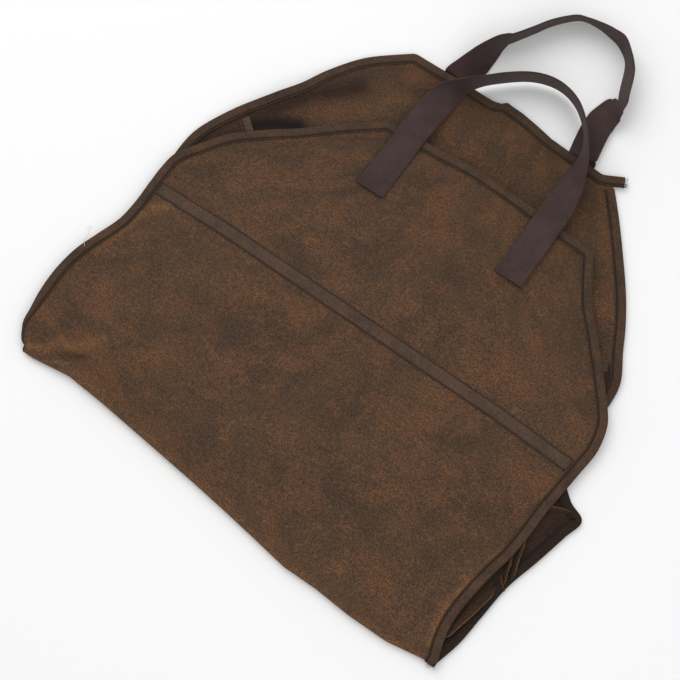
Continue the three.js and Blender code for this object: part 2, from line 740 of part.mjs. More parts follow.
function endPanelLine(front, back, depth, side, share) {
  const radius = mix(END_FOLD_RADIUS, END_FOLD_RADIUS_LAST, share);
  const low = mix(END_LOW, END_LOW_LAST, smooth(3 * share));
  const high = low + 2 * radius;
  const foldX = (front[1].x + back[1].x) / 2 - side * (depth - BORDER);
  const foldY = (front[1].y + back[1].y) / 2 - END_SAG * (1 - share);
  const half = (strip, level, sign) => END_COLUMNS.map((item) => {
    const reach = item.depth * (1 - radius / depth);
    const nip = (sign * item.nip * depth) / END_FOLD;
    const height = mix(strip[1].z, level, Math.sqrt(item.depth)) - nip;
    return new THREE.Vector3(mix(strip[1].x, foldX, reach), mix(strip[1].y, foldY, reach), height);
  });
  const turn = range(1, END_FOLD_TURN - 1).map((step) => {
    const angle = (Math.PI * step) / END_FOLD_TURN;
    const x = foldX + side * radius * (1 - Math.sin(angle));
    return new THREE.Vector3(x, foldY, low + radius * (1 + Math.cos(angle)));
  });
  const lower = half(back, low, -1).reverse();
  return [...front, ...half(front, high, 1), ...turn, ...lower, back[1], back[0]];
}

// Handles

// Height of a layer's facets at a place in plan
function facetHeight(grid, x, y) {
  for (let row = 0; row < grid.length - 1; row += 1) {
    for (let column = 0; column < grid[0].length - 1; column += 1) {
      const [a, d] = [grid[row][column], grid[row][column + 1]];
      const [b, c] = [grid[row + 1][column], grid[row + 1][column + 1]];
      const high = heightIn(a, b, c, x, y) ?? heightIn(a, c, d, x, y);
      if (high !== null) return high;
    }
  }
  return 0;
}

function heightIn(a, b, c, x, y) {
  const area = (b.x - a.x) * (c.y - a.y) - (c.x - a.x) * (b.y - a.y);
  const shareB = ((x - a.x) * (c.y - a.y) - (c.x - a.x) * (y - a.y)) / area;
  const shareC = ((b.x - a.x) * (y - a.y) - (x - a.x) * (b.y - a.y)) / area;
  if (shareB < 0 || shareC < 0 || shareB + shareC > 1) return null;
  return a.z + (b.z - a.z) * shareB + (c.z - a.z) * shareC;
}

const WEB_CAPS = [[0, 1, 2, 3]];

// Webbing: a flat section turned about its path. turn 1 stands the strap on edge.
function strapGeometry(path) {
  const last = path.length - 1;
  const sections = path.map((item, index) => {
    const before = path[Math.max(index - 1, 0)].center;
    const after = path[Math.min(index + 1, last)].center;
    const along = after.clone().sub(before).normalize();
    const level = new THREE.Vector3(-along.y, along.x, 0).normalize();
    const angle = (item.turn * Math.PI) / 2;
    const wide = level.multiplyScalar(Math.cos(angle)).add(new THREE.Vector3(0, 0, Math.sin(angle)));
    wide.addScaledVector(along, -wide.dot(along)).normalize();
    const thick = along.clone().cross(wide).multiplyScalar(WEBBING_WALL / 2);
    wide.multiplyScalar(WEBBING_WIDTH / 2);
    return [[1, 1], [-1, 1], [-1, -1], [1, -1]].map(([w, t]) => {
      return item.center.clone().addScaledVector(wide, w).addScaledVector(thick, t);
    });
  });
  return sweepGeometry(sections, WEB_CAPS);
}

function loopPath(table, topY, loop, lowFlat, lowEdge) {
  return table.map((row) => {
    const angle = (row.turn * Math.PI) / 2;
    const height = (WEBBING_WIDTH / 2) * Math.sin(angle) + (WEBBING_WALL / 2) * Math.abs(Math.cos(angle));
    const low = mix(lowFlat(row), lowEdge, smooth(row.turn * 2));
    const center = new THREE.Vector3(row.across * HALF_WIDTH, topY + row.up * loop, low + height);
    return { center, turn: row.turn };
  });
}

function frontSeat(x, y) {
  const highs = LEG_ACROSS.map((share) => facetHeight(frontGrid, x + share * WEBBING_WIDTH, y));
  return Math.max(...highs) + HALF_CANVAS + GAP + LEG_SPARE;
}

function frontLeg(across) {
  const x = across * HALF_WIDTH;
  const endY = FRONT_TOP_Y + BORDER / 3;
  return FRONT_LEG_ROWS.map((row) => {
    const y = endY - HANDLE_SEWN * (1 - row.along);
    const seat = frontSeat(x, Math.min(y, FRONT_TOP_Y - BORDER)) + row.onBinding * BINDING_REACH;
    return { center: new THREE.Vector3(x, y, seat + WEBBING_WALL / 2), turn: 0 };
  });
}

function frontHandle() {
  const left = frontLeg(FRONT_LEGS.left);
  const right = frontLeg(FRONT_LEGS.right).reverse();
  const flatTop = left[left.length - 1].center.z - WEBBING_WALL / 2;
  const lowEdge = BACK_TOP_EDGE + HALF_CANVAS + BINDING_REACH + GAP;
  const lowFlat = (row) => mix(flatTop, lowEdge, smooth(row.up * 2));
  const loop = loopPath(FRONT_LOOP_ROWS, FRONT_TOP_Y, FRONT_LOOP, lowFlat, lowEdge);
  return strapGeometry([...left, ...loop, ...right]);
}

function backLeg(across) {
  return BACK_LEG_ROWS.map((row) => {
    const y = BACK_TOP_Y - HANDLE_SEWN * (1 - row.along);
    return { center: new THREE.Vector3(across * HALF_WIDTH, y, WEBBING_WALL / 2), turn: 0 };
  });
}

function backHandle() {
  const loop = loopPath(BACK_LOOP_ROWS, BACK_TOP_Y, BACK_LOOP, () => 0, GAP);
  return strapGeometry([...backLeg(BACK_LEGS.left), ...loop, ...backLeg(BACK_LEGS.right).reverse()]);
}

// End tapes: folded over the top edge of each end panel
function endTape(grid, normals) {
  const count = grid[0].length;
  const stations = [];
  for (let column = 2; column < count - 2; column += 1) {
    const edge = grid[0][column];
    const inset = grid[1][column];
    const along = grid[0][column + 1].clone().sub(grid[0][column - 1]).normalize();
    const share = BORDER / along.cross(inset.clone().sub(edge)).length();
    stations.push(station(
      edge,
      edge.clone().lerp(inset, share),
      normals[0][column],
      normals[0][column].clone().lerp(normals[1][column], share).normalize(),
      0,
    ));
  }
  return sweepGeometry(stations.reverse().map(bindingSection), BINDING_CAPS, BINDING_TURNED);
}

// The assembly, with its origin on the floor under the middle of its outline

function buildCarrier() {
  const { frontTop, frontSeam, backSeam, backTop } = sheetRow;
  const leftGrid = endPanelGrid(-1);
  const rightGrid = endPanelGrid(1);
  const leftNormals = gridNormals(leftGrid);
  const rightNormals = gridNormals(rightGrid);
  const group = new THREE.Group();
  group.add(
    pieceMesh('front_flap', sheetStretch(frontTop, frontSeam, false, true), MATERIALS.canvas),
    pieceMesh('body_canvas', sheetStretch(frontSeam, backSeam, true, true), MATERIALS.canvas),
    pieceMesh('back_flap', sheetStretch(backSeam, backTop, true, false), MATERIALS.canvas),
    pieceMesh('seam_tape_front', seamTape(frontSeam), MATERIALS.tape),
    pieceMesh('seam_tape_back', seamTape(backSeam), MATERIALS.tape),
    pieceMesh('binding_left', bindingLeft(), MATERIALS.binding),
    pieceMesh('binding_right', bindingRight(), MATERIALS.binding),
    pieceMesh('binding_top_front', bindingTopFront(), MATERIALS.binding),
    pieceMesh('binding_top_back', bindingTopBack(), MATERIALS.binding),
    pieceMesh('end_panel_left', shellGeometry(leftGrid, leftNormals, CANVAS), MATERIALS.canvas),
    pieceMesh('end_panel_right', shellGeometry(rightGrid, rightNormals, CANVAS), MATERIALS.canvas),
    pieceMesh('end_tape_left', endTape(leftGrid, leftNormals), MATERIALS.tape),
    pieceMesh('end_tape_right', endTape(rightGrid, rightNormals), MATERIALS.tape),
    pieceMesh('front_handle', frontHandle(), MATERIALS.webbing),
    pieceMesh('back_handle', backHandle(), MATERIALS.webbing),
  );
  const box = new THREE.Box3().setFromObject(group);
  const middle = box.getCenter(new THREE.Vector3());
  group.position.set(-middle.x, -middle.y, -box.min.z);
  return group;
}

export default buildCarrier();
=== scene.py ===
# Canvas log carrier, folded flat and lying on a pale surface.
# The plan and the heights are worked out in millimetres and made in metres.
import math

import bpy
import numpy as np
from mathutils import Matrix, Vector


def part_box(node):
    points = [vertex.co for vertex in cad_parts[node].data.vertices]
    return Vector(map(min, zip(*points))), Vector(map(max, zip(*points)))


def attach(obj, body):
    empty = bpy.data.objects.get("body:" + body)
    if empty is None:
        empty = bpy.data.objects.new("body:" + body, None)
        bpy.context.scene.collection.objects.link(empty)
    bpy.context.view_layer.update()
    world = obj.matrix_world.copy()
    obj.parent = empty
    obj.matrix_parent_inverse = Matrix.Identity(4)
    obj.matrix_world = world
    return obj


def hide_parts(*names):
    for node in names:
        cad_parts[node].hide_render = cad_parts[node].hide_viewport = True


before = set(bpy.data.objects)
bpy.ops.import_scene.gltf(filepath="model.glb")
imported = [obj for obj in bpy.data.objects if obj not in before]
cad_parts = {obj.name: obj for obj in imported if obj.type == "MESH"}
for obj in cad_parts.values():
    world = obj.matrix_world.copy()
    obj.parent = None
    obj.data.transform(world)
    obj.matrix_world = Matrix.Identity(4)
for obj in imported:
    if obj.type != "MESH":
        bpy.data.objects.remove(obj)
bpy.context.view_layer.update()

MM = 0.001
random_state = np.random.default_rng(41)

# Sizes of the cloth, tapes and webbing
BODY_WIDTH = 620.0
FRONT_PANEL = 280.0
FRONT_FLAP = 235.0
BACK_PANEL = 350.0
BACK_FLAP = 265.0
CANVAS = 1.2
FOLD_REACH = 6.0
BINDING_WIDTH = 12.0
BINDING_WALL = 1.0
SEAM_TAPE_WIDTH = 18.0
SEAM_TAPE_WALL = 1.0
WEBBING_WIDTH = 38.0
WEBBING_WALL = 2.0
HANDLE_SEWN = 95.0
END_FOLD = 185.0
END_FOLD_LAST = 46.0
END_FOLD_RADIUS = 3.2
END_FOLD_RADIUS_LAST = 1.6
END_SAG = 95.0
GAP = 0.3

# How the layers lie
FRONT_CREST = 21.0
SLOPE_RUN = 110.0
FLAP_DROP = 5.0
LIFT_RUN = 26.0
BOTTOM_BULGE = 10.5
FLAP_LIFT = 2.5
REST_SPARE = 0.1

# Worked out from the sizes
HALF_WIDTH = BODY_WIDTH / 2
HALF_CANVAS = CANVAS / 2
BORDER = BINDING_WIDTH + 2
BINDING_REACH = GAP + BINDING_WALL
PLY = CANVAS + GAP
FRONT_TOP_Y = FRONT_PANEL + FRONT_FLAP
BACK_TOP_Y = BACK_PANEL + BACK_FLAP
BACK_FLOOR = HALF_CANVAS
BACK_EDGE = HALF_CANVAS + BINDING_REACH
BACK_ON_HANDLE = HALF_CANVAS + GAP + WEBBING_WALL
BACK_TOP_EDGE = BACK_ON_HANDLE + BINDING_REACH
FRONT_EDGE = BACK_EDGE + 2 * (HALF_CANVAS + PLY + BINDING_REACH) + GAP
END_LOW = BACK_ON_HANDLE + 2 * HALF_CANVAS + GAP + BINDING_REACH + GAP
END_LOW_LAST = BACK_EDGE + PLY + GAP
TAPE_HALF = SEAM_TAPE_WIDTH / 2 + 1

# Fineness of the cloth: rows to a table row, columns of the border and between the borders,
# rows round the bottom fold, steps of an end panel, and about how far apart the rows lie
STEPS = 10
STRIP = 5
INNER = 132
TURN_STEPS = 14
END_STEPS = 6
ROW_PITCH = 3.0

# Uneven waves of the cloth: wavelength, seed and height
WAVES = {"long": (190, 5, 1.1), "short": (60, 6, 0.35), "back": (150, 8, 0.9)}
WAVE_COUNT = 9

# Sewing: the pitch, length and radius of each kind of stitch, and the hem of a handle's leg
STITCHES = {"binding": (3.4, 2.6, 0.42), "tape": (3.2, 2.4, 0.42), "handle": (3.0, 2.3, 0.36)}
STITCH_WANDER = 0.15
HEM = 24.0
HEM_WALL = 0.8

# The frayed end of the back binding: its bend in degrees, its length, and where it leaves the edge
FRAY_BEND = 29.0
FRAY_LENGTH = 30.0
FRAY_STEPS = 11
FRAY_LEAVES = 5

# Edge places of the cloth: left and right across, and how far up the region each lies,
# how much of the bottom fold's line the row follows, and the rise of its middle
FRONT_PANEL_ROWS = [
    (-0.958, 0.118, 0.984, 0.014, 1.00, 0),
    (-1.024, 0.186, 0.958, 0.107, 0.65, 0),
    (-1.045, 0.275, 0.948, 0.207, 0.42, 0),
    (-1.058, 0.364, 0.955, 0.321, 0.26, 0),
    (-1.061, 0.471, 0.971, 0.436, 0.15, 0),
    (-1.048, 0.586, 0.990, 0.536, 0.08, 0),
    (-1.016, 0.696, 1.000, 0.650, 0.03, 0),
    (-0.984, 0.804, 1.003, 0.764, 0, 0),
    (-0.976, 0.911, 1.013, 0.875, 0, 0),
    (-0.979, 1.014, 1.023, 0.989, 0, 0),
]
FRONT_FLAP_ROWS = [
    (-0.979, 0.119, 1.032, 0.128, 0, 0),
    (-0.966, 0.221, 1.013, 0.255, 0, 0),
    (-0.913, 0.332, 0.977, 0.336, 0, 0),
    (-0.842, 0.464, 0.906, 0.451, 0, 0),
    (-0.729, 0.596, 0.845, 0.545, 0, 0),
    (-0.626, 0.702, 0.784, 0.638, 0, 0),
    (-0.516, 0.834, 0.697, 0.766, 0, 0.003),
    (-0.377, 0.983, 0.603, 0.970, 0, 0.006),
]
BACK_PANEL_ROWS = [
    (-0.958, 0.095, 0.984, 0.011, 1.00, 0),
    (-0.988, 0.160, 1.010, 0.103, 0.65, 0),
    (-1.008, 0.257, 1.023, 0.214, 0.36, 0),
    (-1.012, 0.371, 1.039, 0.343, 0.18, 0),
    (-1.000, 0.500, 1.078, 0.471, 0.08, 0),
    (-0.981, 0.600, 1.110, 0.590, 0.02, 0),
    (-0.971, 0.686, 1.128, 0.665, 0, 0),
    (-0.969, 0.771, 1.050, 0.702, 0, 0),
    (-0.972, 0.871, 0.972, 0.790, 0, 0),
    (-0.977, 0.991, 0.966, 0.986, 0, 0),
]
BACK_FLAP_ROWS = [
    (-0.968, 0.083, 0.970, 0.083, 0, 0),
    (-0.935, 0.181, 0.956, 0.185, 0, 0),
    (-0.876, 0.309, 0.899, 0.309, 0, 0),
    (-0.801, 0.434, 0.847, 0.426, 0, 0),
    (-0.738, 0.545, 0.777, 0.555, 0, 0),
    (-0.685, 0.683, 0.688, 0.694, 0, 0),
    (-0.598, 0.832, 0.601, 0.823, 0, 0.003),
    (-0.459, 0.972, 0.508, 0.950, 0, 0.004),
]
FOLD_LINE = [
    (0.00, 0), (0.08, 0.0145), (0.17, 0.0122), (0.25, 0.0080), (0.33, 0.0035),
    (0.42, -0.0014), (0.50, -0.0072), (0.58, -0.0140), (0.67, -0.0226), (0.75, -0.0187),
    (0.83, -0.0205), (0.92, -0.0160), (1.00, 0),
]

# Soft swells: across, along, reach across, reach along, rise
FRONT_SWELLS = [
    (0.08, 1.00, 0.16, 0.10, 7),
    (-0.28, 0.98, 0.12, 0.08, -1.5),
    (0.46, 0.98, 0.10, 0.08, -1.5),
    (-0.78, 0.10, 0.20, 0.07, 3.0),
    (-0.62, 0.05, 0.12, 0.05, -2.5),
    (0.70, 0.20, 0.12, 0.16, 3.5),
    (-0.78, 0.44, 0.14, 0.08, 3.5),
    (0.15, 0.42, 0.45, 0.10, -2),
]
BACK_SWELLS = [(-0.82, 0.79, 0.20, 0.075, 10)]

# Small folds of the front: from and to (across, along), half width in millimetres, rise, rubbed pale
FRONT_FOLDS = [
    ((-0.995, 0.345), (-0.965, 0.405), 5, 1.2, 0.8),
    ((-0.965, 0.405), (-0.935, 0.475), 5, 1.8, 0.9),
    ((-0.935, 0.475), (-0.860, 0.530), 7, 1.6, 0.7),
    ((-0.955, 0.070), (-0.900, 0.085), 5, 2.0, 0.8),
    ((-0.900, 0.085), (-0.868, 0.117), 5, 2.4, 0.8),
    ((-0.868, 0.117), (-0.803, 0.122), 6, 2.2, 0.8),
    ((-0.803, 0.122), (-0.729, 0.175), 8, 1.6, 0.6),
    ((-0.830, 0.088), (-0.755, 0.118), 4, -2.4, 0.0),
    ((-0.890, 0.055), (-0.800, 0.075), 5, 1.6, 0.7),
    ((-0.700, 0.060), (-0.560, 0.075), 8, 1.0, 0.3),
    ((0.925, 0.030), (0.905, 0.110), 5, 2.0, 0.8),
    ((0.905, 0.110), (0.925, 0.190), 6, 1.8, 0.9),
    ((0.925, 0.190), (0.960, 0.290), 6, 1.2, 0.6),
]

# Shaded lines of the back layer, in the left pocket and at the right side: places, half width, depth
SHADED = [
    ([(-256, 418), (-234, 454), (-206, 496), (-168, 534)], 15.0, 0.74),
    ([(-248, 418), (-228, 434), (-202, 448)], 15.0, 0.98),
    ([(303, 395), (312, 430)], 9.0, 0.5),
]
# The same for a small hollow beside the left end of the bottom fold
FRONT_SHADED = [([(-256, 47), (-250, 53), (-243, 57), (-235, 62)], 2.6, 0.5)]
# Shade over the lower right tip of the back layer: where it starts and ends, and how it fades there
TIP_SHADE = {"from_x": 296, "x_run": 14, "to_y": 252, "y_run": 30, "depth": 0.94}
BINDING_SHADE = 0.8
END_SHADE = 0.68
# Rubbed cloth along the bottom fold: rows to each side, and how pale
FOLD_RUB = {"rows": 9.0, "pale": 0.35}

# End panel across its fold: share of the depth, and how far it is drawn in there
END_COLUMNS = [(0.10, 1.5), (0.50, 0.0), (1.00, 0.0)]
SHOULDERS = {"left": 3.0, "right": 2.5}

# Front handle: across, past the top edge in loop lengths, turn from flat (0) to upright (1).
# Back handle: the same two places for its lower edge and then for its upper edge.
FRONT_LOOP = 155.0
FRONT_LOOP_ROWS = [
    (-0.251, 0.24, 0.05),
    (-0.236, 0.41, 0.36),
    (-0.196, 0.55, 0.86),
    (-0.150, 0.67, 1.04),
    (-0.084, 0.80, 1.06),
    (-0.005, 0.92, 1.08),
    (0.074, 0.98, 1.09),
    (0.150, 0.98, 1.09),
    (0.224, 0.92, 1.06),
    (0.291, 0.80, 1.02),
    (0.335, 0.66, 0.92),
    (0.360, 0.51, 0.66),
    (0.374, 0.33, 0.32),
    (0.383, 0.16, 0.08),
]
FRONT_LEGS = {"left": -0.255, "right": 0.387}
FRONT_LEG_ROWS = [0.0, 0.17, 0.34, 0.51, 0.68, 0.80, 0.90, 1.00]
LEG_ON_BINDING = 0.80
LEG_SPARE = 0.4
BACK_LOOP = 160.0
BACK_LOOP_EDGES = [
    (-0.19, 0, -0.31, 0),
    (-0.175, 0.085, -0.29, 0.10),
    (-0.17, 0.16, -0.27, 0.17),
    (-0.17, 0.235, -0.25, 0.235),
    (-0.17, 0.32, -0.225, 0.31),
    (-0.17, 0.41, -0.20, 0.375),
    (-0.165, 0.475, -0.175, 0.425),
    (-0.155, 0.52, -0.155, 0.46),
    (-0.115, 0.65, -0.11, 0.59),
    (-0.075, 0.785, -0.07, 0.715),
    (-0.035, 0.885, -0.03, 0.81),
    (0, 0.95, 0.01, 0.88),
    (0.035, 0.98, 0.055, 0.91),
    (0.09, 0.985, 0.11, 0.93),
    (0.145, 0.97, 0.165, 0.94),
    (0.195, 0.945, 0.22, 0.93),
    (0.245, 0.885, 0.27, 0.85),
    (0.275, 0.785, 0.32, 0.735),
    (0.305, 0.64, 0.35, 0.605),
    (0.32, 0.57, 0.37, 0.485),
    (0.30, 0.52, 0.38, 0.435),
    (0.275, 0.445, 0.385, 0.40),
    (0.26, 0.32, 0.38, 0.335),
    (0.26, 0.22, 0.38, 0.24),
    (0.27, 0.10, 0.39, 0.11),
    (0.28, 0, 0.40, 0),
]
BACK_LEGS = {"left": -0.248, "right": 0.342}
BACK_LEG_ROWS = [0.0, 0.5, 0.95]
ON_SURFACE = 0.05

# Where the plan lies in the row frame: the back handle's sewn end marks the place
handle_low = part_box("back_handle")[0]
PLACE = np.array([
    handle_low[0] / MM - (BACK_LEGS["left"] * HALF_WIDTH - WEBBING_WIDTH / 2),
    handle_low[1] / MM - (BACK_TOP_Y - HANDLE_SEWN),
    0.0,
])


# Small helpers

def mix(a, b, share):
    return a + (b - a) * share


def smooth(share):
    share = np.clip(share, 0, 1)
    return share * share * (3 - 2 * share)


def unit(vectors):
    length = np.linalg.norm(vectors, axis=-1, keepdims=True)
    return vectors / np.maximum(length, 1e-9)


def spline(values, steps):
    """A smooth curve through the rows of values, with steps points to each interval."""
    values = np.asarray(values, float)
    last = len(values) - 1
    fine = []
    for index in range(last):
        a, b, c, d = (values[min(max(index + shift, 0), last)] for shift in (-1, 0, 1, 2))
        for step in range(steps):
            t = step / steps
            bend = 2 * a - 5 * b + 4 * c - d
            twist = 3 * b - a - 3 * c + d
            fine.append((2 * b + (c - a) * t + bend * t * t + twist * t ** 3) / 2)
    fine.append(values[last])
    return np.array(fine)


def travelled(points):
    """Distance from the first point of a line, or of each line in a grid, to every point of it."""
    strides = np.linalg.norm(np.diff(points, axis=0), axis=-1)
    return np.concatenate([np.zeros((1, *strides.shape[1:])), np.cumsum(strides, axis=0)])


def distance_to_line(points, x, y):
    """The least distance from each place to a line through the points."""
    least = np.full(x.shape, 1e9)
    for start, end in zip(points[:-1], points[1:]):
        run = end - start
        length = max(float(run @ run), 1e-9)
        share = np.clip(((x - start[0]) * run[0] + (y - start[1]) * run[1]) / length, 0, 1)
        gap = np.hypot(x - start[0] - run[0] * share, y - start[1] - run[1] * share)
        least = np.minimum(least, gap)
    return least


# Plan of a layer

def placed(rows, base, height):
    """The rows of a table in millimetres."""
    return [
        (left * HALF_WIDTH, base + left_up * height, right * HALF_WIDTH, base + right_up * height,
         wave * BODY_WIDTH, bow * BODY_WIDTH)
        for left, left_up, right, right_up, wave, bow in rows
    ]


def inset_line(points, side):
    """The inner line of the border, level with the edge at the bottom fold."""
    reach = STEPS // 2
    count = len(points)
    before = points[np.maximum(np.arange(count) - reach, 0)]
    after = points[np.minimum(np.arange(count) + reach, count - 1)]
    run = after - before
    inward = unit(np.stack([side * run[:, 1], -side * run[:, 0]], axis=1))
    for index in range(reach):
        level = mix(np.array([float(side), 0.0]), inward[reach], index / reach)
        inward[index] = level / np.linalg.norm(level)
    return points + inward * BORDER


def corner_fan(center, side_way, up_way, up_share, side_share):
    """A place in the round corner of the border: the square of shares bent to a quarter disc."""
    reach = max(up_share, side_share)
    if reach < 1e-6:
        return center
    quarter = up_share / side_share / 2 if side_share >= up_share else 1 - side_share / up_share / 2
    way = mix(side_way, up_way, smooth(quarter) * 0.4 + quarter * 0.6)
    return center + way / np.linalg.norm(way) * BORDER * reach


def layer_plan(panel_rows, panel_height, flap_rows, flap_height):
    """Sides and grid of a layer, from its bottom fold to its top edge."""
    controls = placed(panel_rows, 0, panel_height) + placed(flap_rows, panel_height, flap_height)
    rows = spline(controls, STEPS)
    left, right = rows[:, 0:2], rows[:, 2:4]
    inner_left, inner_right = inset_line(left, 1), inset_line(right, -1)
    share = np.linspace(0, 1, INNER + 1)
    line_at, line_push = zip(*FOLD_LINE)
    push = np.interp(share, line_at, line_push)
    strip = np.linspace(0, 1, STRIP + 1)[:-1, None]
    grid = []
    for row, a, b, c, d in zip(rows, left, inner_left, inner_right, right):
        inner = mix(b, c, share[:, None])
        inner[:, 1] += row[4] * push + row[5] * np.sin(math.pi * share)
        grid.append(np.concatenate([mix(a, b, strip), inner, mix(d, c, strip)[::-1]]))
    last = grid[-1]
    up = np.array([0.0, 1.0])
    for step in range(1, STRIP + 1):
        up_share = step / STRIP
        line = last + up * BORDER * up_share
        for column in range(STRIP):
            side_share = 1 - column / STRIP
            for at, hub in ((column, STRIP), (len(last) - 1 - column, len(last) - 1 - STRIP)):
                edge = 0 if at < STRIP else len(last) - 1
                side_way = unit(last[edge] - last[hub])
                line[at] = corner_fan(last[hub], side_way, up, up_share, side_share)
        grid.append(line)
    return {"left": left, "right": right, "grid": np.array(grid)}


# The wave in the back flap's top edge: x, and how far the edge lies beyond its straight line
TOP_WAVE = [
    (-40, 0.0), (-24, 0.5), (-14, 3.5), (-9, 9.0), (0, 8.4), (14, 8.0), (38, 4.8), (62, 0.6), (90, 0.0),
]
TOP_WAVE_RUN = 55.0

# The swell at the left end of the bottom fold: distance up from the fold, and how far out the edge lies
CORNER_SWELL = [(0, 5.0), (8, 5.2), (14, 4.6), (22, 2.8), (34, 0.7), (45, 0.0)]
CORNER_SWELL_COLUMNS = 12


def add_top_wave(grid):
    wave_at, wave_reach = zip(*TOP_WAVE)
    near_top = smooth((grid[..., 1] - BACK_TOP_Y + TOP_WAVE_RUN) / TOP_WAVE_RUN)
    grid[..., 1] += near_top * np.interp(grid[..., 0], wave_at, wave_reach)


def add_corner_swell(grid):
    swell_at, swell_out = zip(*CORNER_SWELL)
    away = np.linalg.norm(grid[:, 0, :2] - grid[0, 0, :2], axis=1)
    outward = unit(grid[:, 0, :2] - grid[:, STRIP, :2]) * np.interp(away, swell_at, swell_out)[:, None]
    fading = 1 - smooth((np.arange(STRIP + CORNER_SWELL_COLUMNS) - STRIP) / CORNER_SWELL_COLUMNS)
    grid[:, :len(fading), :2] += outward[:, None] * fading[None, :, None]


# Heights of the middle of the cloth

def swell_height(swells, height, x, y):
    total = np.zeros(x.shape)
    for across, along, wide, long, rise in swells:
        u = (x / HALF_WIDTH - across) / wide
        v = (y / height - along) / long
        total += rise * np.exp(-(u * u + v * v))
    return total


def fold_shape(folds, x, y):
    """Rise and paleness of the small folds at each place."""
    rise, pale = np.zeros(x.shape), np.zeros(x.shape)
    for start, end, half, lift, rub in folds:
        line = np.array([start, end]) * np.array([HALF_WIDTH, FRONT_TOP_Y])
        bump = np.exp(-(distance_to_line(line, x, y) / half) ** 2)
        rise += lift * bump
        pale = np.maximum(pale, rub * bump)
    return rise, pale


def drift(x, y, size, seed):
    """Slow uneven waves of the cloth, from -1 to 1."""
    source = np.random.default_rng(seed)
    total = np.zeros(x.shape)
    for _ in range(WAVE_COUNT):
        angle = source.uniform(0, 2 * math.pi)
        length = size * source.uniform(0.6, 1.7)
        phase = source.uniform(0, 2 * math.pi)
        total += np.sin((x * math.cos(angle) + y * math.sin(angle)) * 2 * math.pi / length + phase)
    return total / WAVE_COUNT


def waves(kind, share, x, y, lift=0.0):
    length, seed, rise = WAVES[kind]
    return share * rise * (drift(x, y, length, seed) + lift)


def from_sides(plan, x, y):
    return np.minimum(distance_to_line(plan["left"][::3], x, y), distance_to_line(plan["right"][::3], x, y))


FOLD_START = 0.02
EDGE_FADE = {"start": 0.9, "run": 14}
BACK_WAVE = {"run": 40, "lift": 0.6}


def front_height(plan, x, y):
    sides = from_sides(plan, x, y)
    inside = smooth((sides - BORDER) / SLOPE_RUN)
    from_fold = smooth((y - FRONT_PANEL * FOLD_START) / SLOPE_RUN)
    flap_drop = FLAP_DROP * smooth((y - FRONT_PANEL) / FRONT_FLAP)
    crest = mix(BOTTOM_BULGE, FRONT_CREST - flap_drop, from_fold)
    edge = FRONT_EDGE + FLAP_LIFT * smooth((y - FRONT_PANEL - TAPE_HALF) / (2 * LIFT_RUN))
    height = mix(edge, crest, inside) + swell_height(FRONT_SWELLS, FRONT_TOP_Y, x, y) * inside
    near = smooth((sides - BORDER * EDGE_FADE["start"]) / EDGE_FADE["run"])
    height = height + fold_shape(FRONT_FOLDS, x, y)[0] * near
    return height + waves("long", inside, x, y) + waves("short", near, x, y)


def back_height(plan, x, y):
    sides = from_sides(plan, x, y)
    on_flap = smooth((y - BACK_PANEL - TAPE_HALF) / (2 * LIFT_RUN))
    at_top = smooth((y - BACK_TOP_Y + 2 * BORDER + LIFT_RUN) / LIFT_RUN)
    at_seam = 1 - smooth((np.abs(y - BACK_PANEL) - TAPE_HALF) / LIFT_RUN)
    inner = mix(BACK_FLOOR, mix(BACK_ON_HANDLE, BACK_TOP_EDGE, at_top), on_flap)
    edge = mix(BACK_EDGE + REST_SPARE * at_seam, BACK_TOP_EDGE, on_flap)
    at_side = 1 - smooth((sides - BORDER) / LIFT_RUN)
    lifted = mix(inner, edge, np.maximum(at_side, at_seam * (1 - on_flap)))
    on_waves = on_flap * smooth((sides - BORDER) / BACK_WAVE["run"])
    uneven = np.maximum(waves("back", on_waves, x, y, BACK_WAVE["lift"]), 0)
    return lifted + swell_height(BACK_SWELLS, BACK_TOP_Y, x, y) + uneven


def lifted(plan, height_at):
    grid = plan["grid"]
    return np.concatenate([grid, height_at(plan, grid[..., 0], grid[..., 1])[..., None]], axis=-1)


def grid_normals(grid):
    along = np.gradient(grid, axis=0)
    across = np.gradient(grid, axis=1)
    return unit(np.cross(along, across))


front_plan = layer_plan(FRONT_PANEL_ROWS, FRONT_PANEL, FRONT_FLAP_ROWS, FRONT_FLAP)
back_plan = layer_plan(BACK_PANEL_ROWS, BACK_PANEL, BACK_FLAP_ROWS, BACK_FLAP)
add_top_wave(back_plan["grid"])
front_grid = lifted(front_plan, front_height)
add_corner_swell(front_grid)
back_grid = lifted(back_plan, back_height)

turn = []
for step in range(1, TURN_STEPS):
    angle = math.pi * step / TURN_STEPS
    line = mix(front_grid[0], back_grid[0], (1 - math.cos(angle)) / 2)
    line[:, 1] -= FOLD_REACH * math.sin(angle)
    turn.append(line)
sheet = np.concatenate([front_grid[::-1], np.array(turn), back_grid])
normals = grid_normals(sheet)
COLUMNS = sheet.shape[1]
LAST = COLUMNS - 1
SEAM_STEP = (len(FRONT_PANEL_ROWS) - 1) * STEPS
ROW = {"front_fold": len(front_grid) - 1, "front_seam": len(front_grid) - 1 - SEAM_STEP}
ROW["back_fold"] = ROW["front_fold"] + TURN_STEPS
ROW["back_seam"] = ROW["back_fold"] + SEAM_STEP
ROW["back_top"] = len(sheet) - 1
CLOTH_ALONG = travelled(sheet[:, COLUMNS // 2])
CLOTH_ACROSS = np.concatenate([
    np.linspace(0, BORDER, STRIP + 1)[:-1],
    np.linspace(BORDER, BODY_WIDTH - BORDER, INNER + 1),
    np.linspace(BODY_WIDTH - BORDER, BODY_WIDTH, STRIP + 1)[1:],
])
cloth_map = np.stack(np.meshgrid(CLOTH_ACROSS, CLOTH_ALONG), axis=-1)


# Meshes

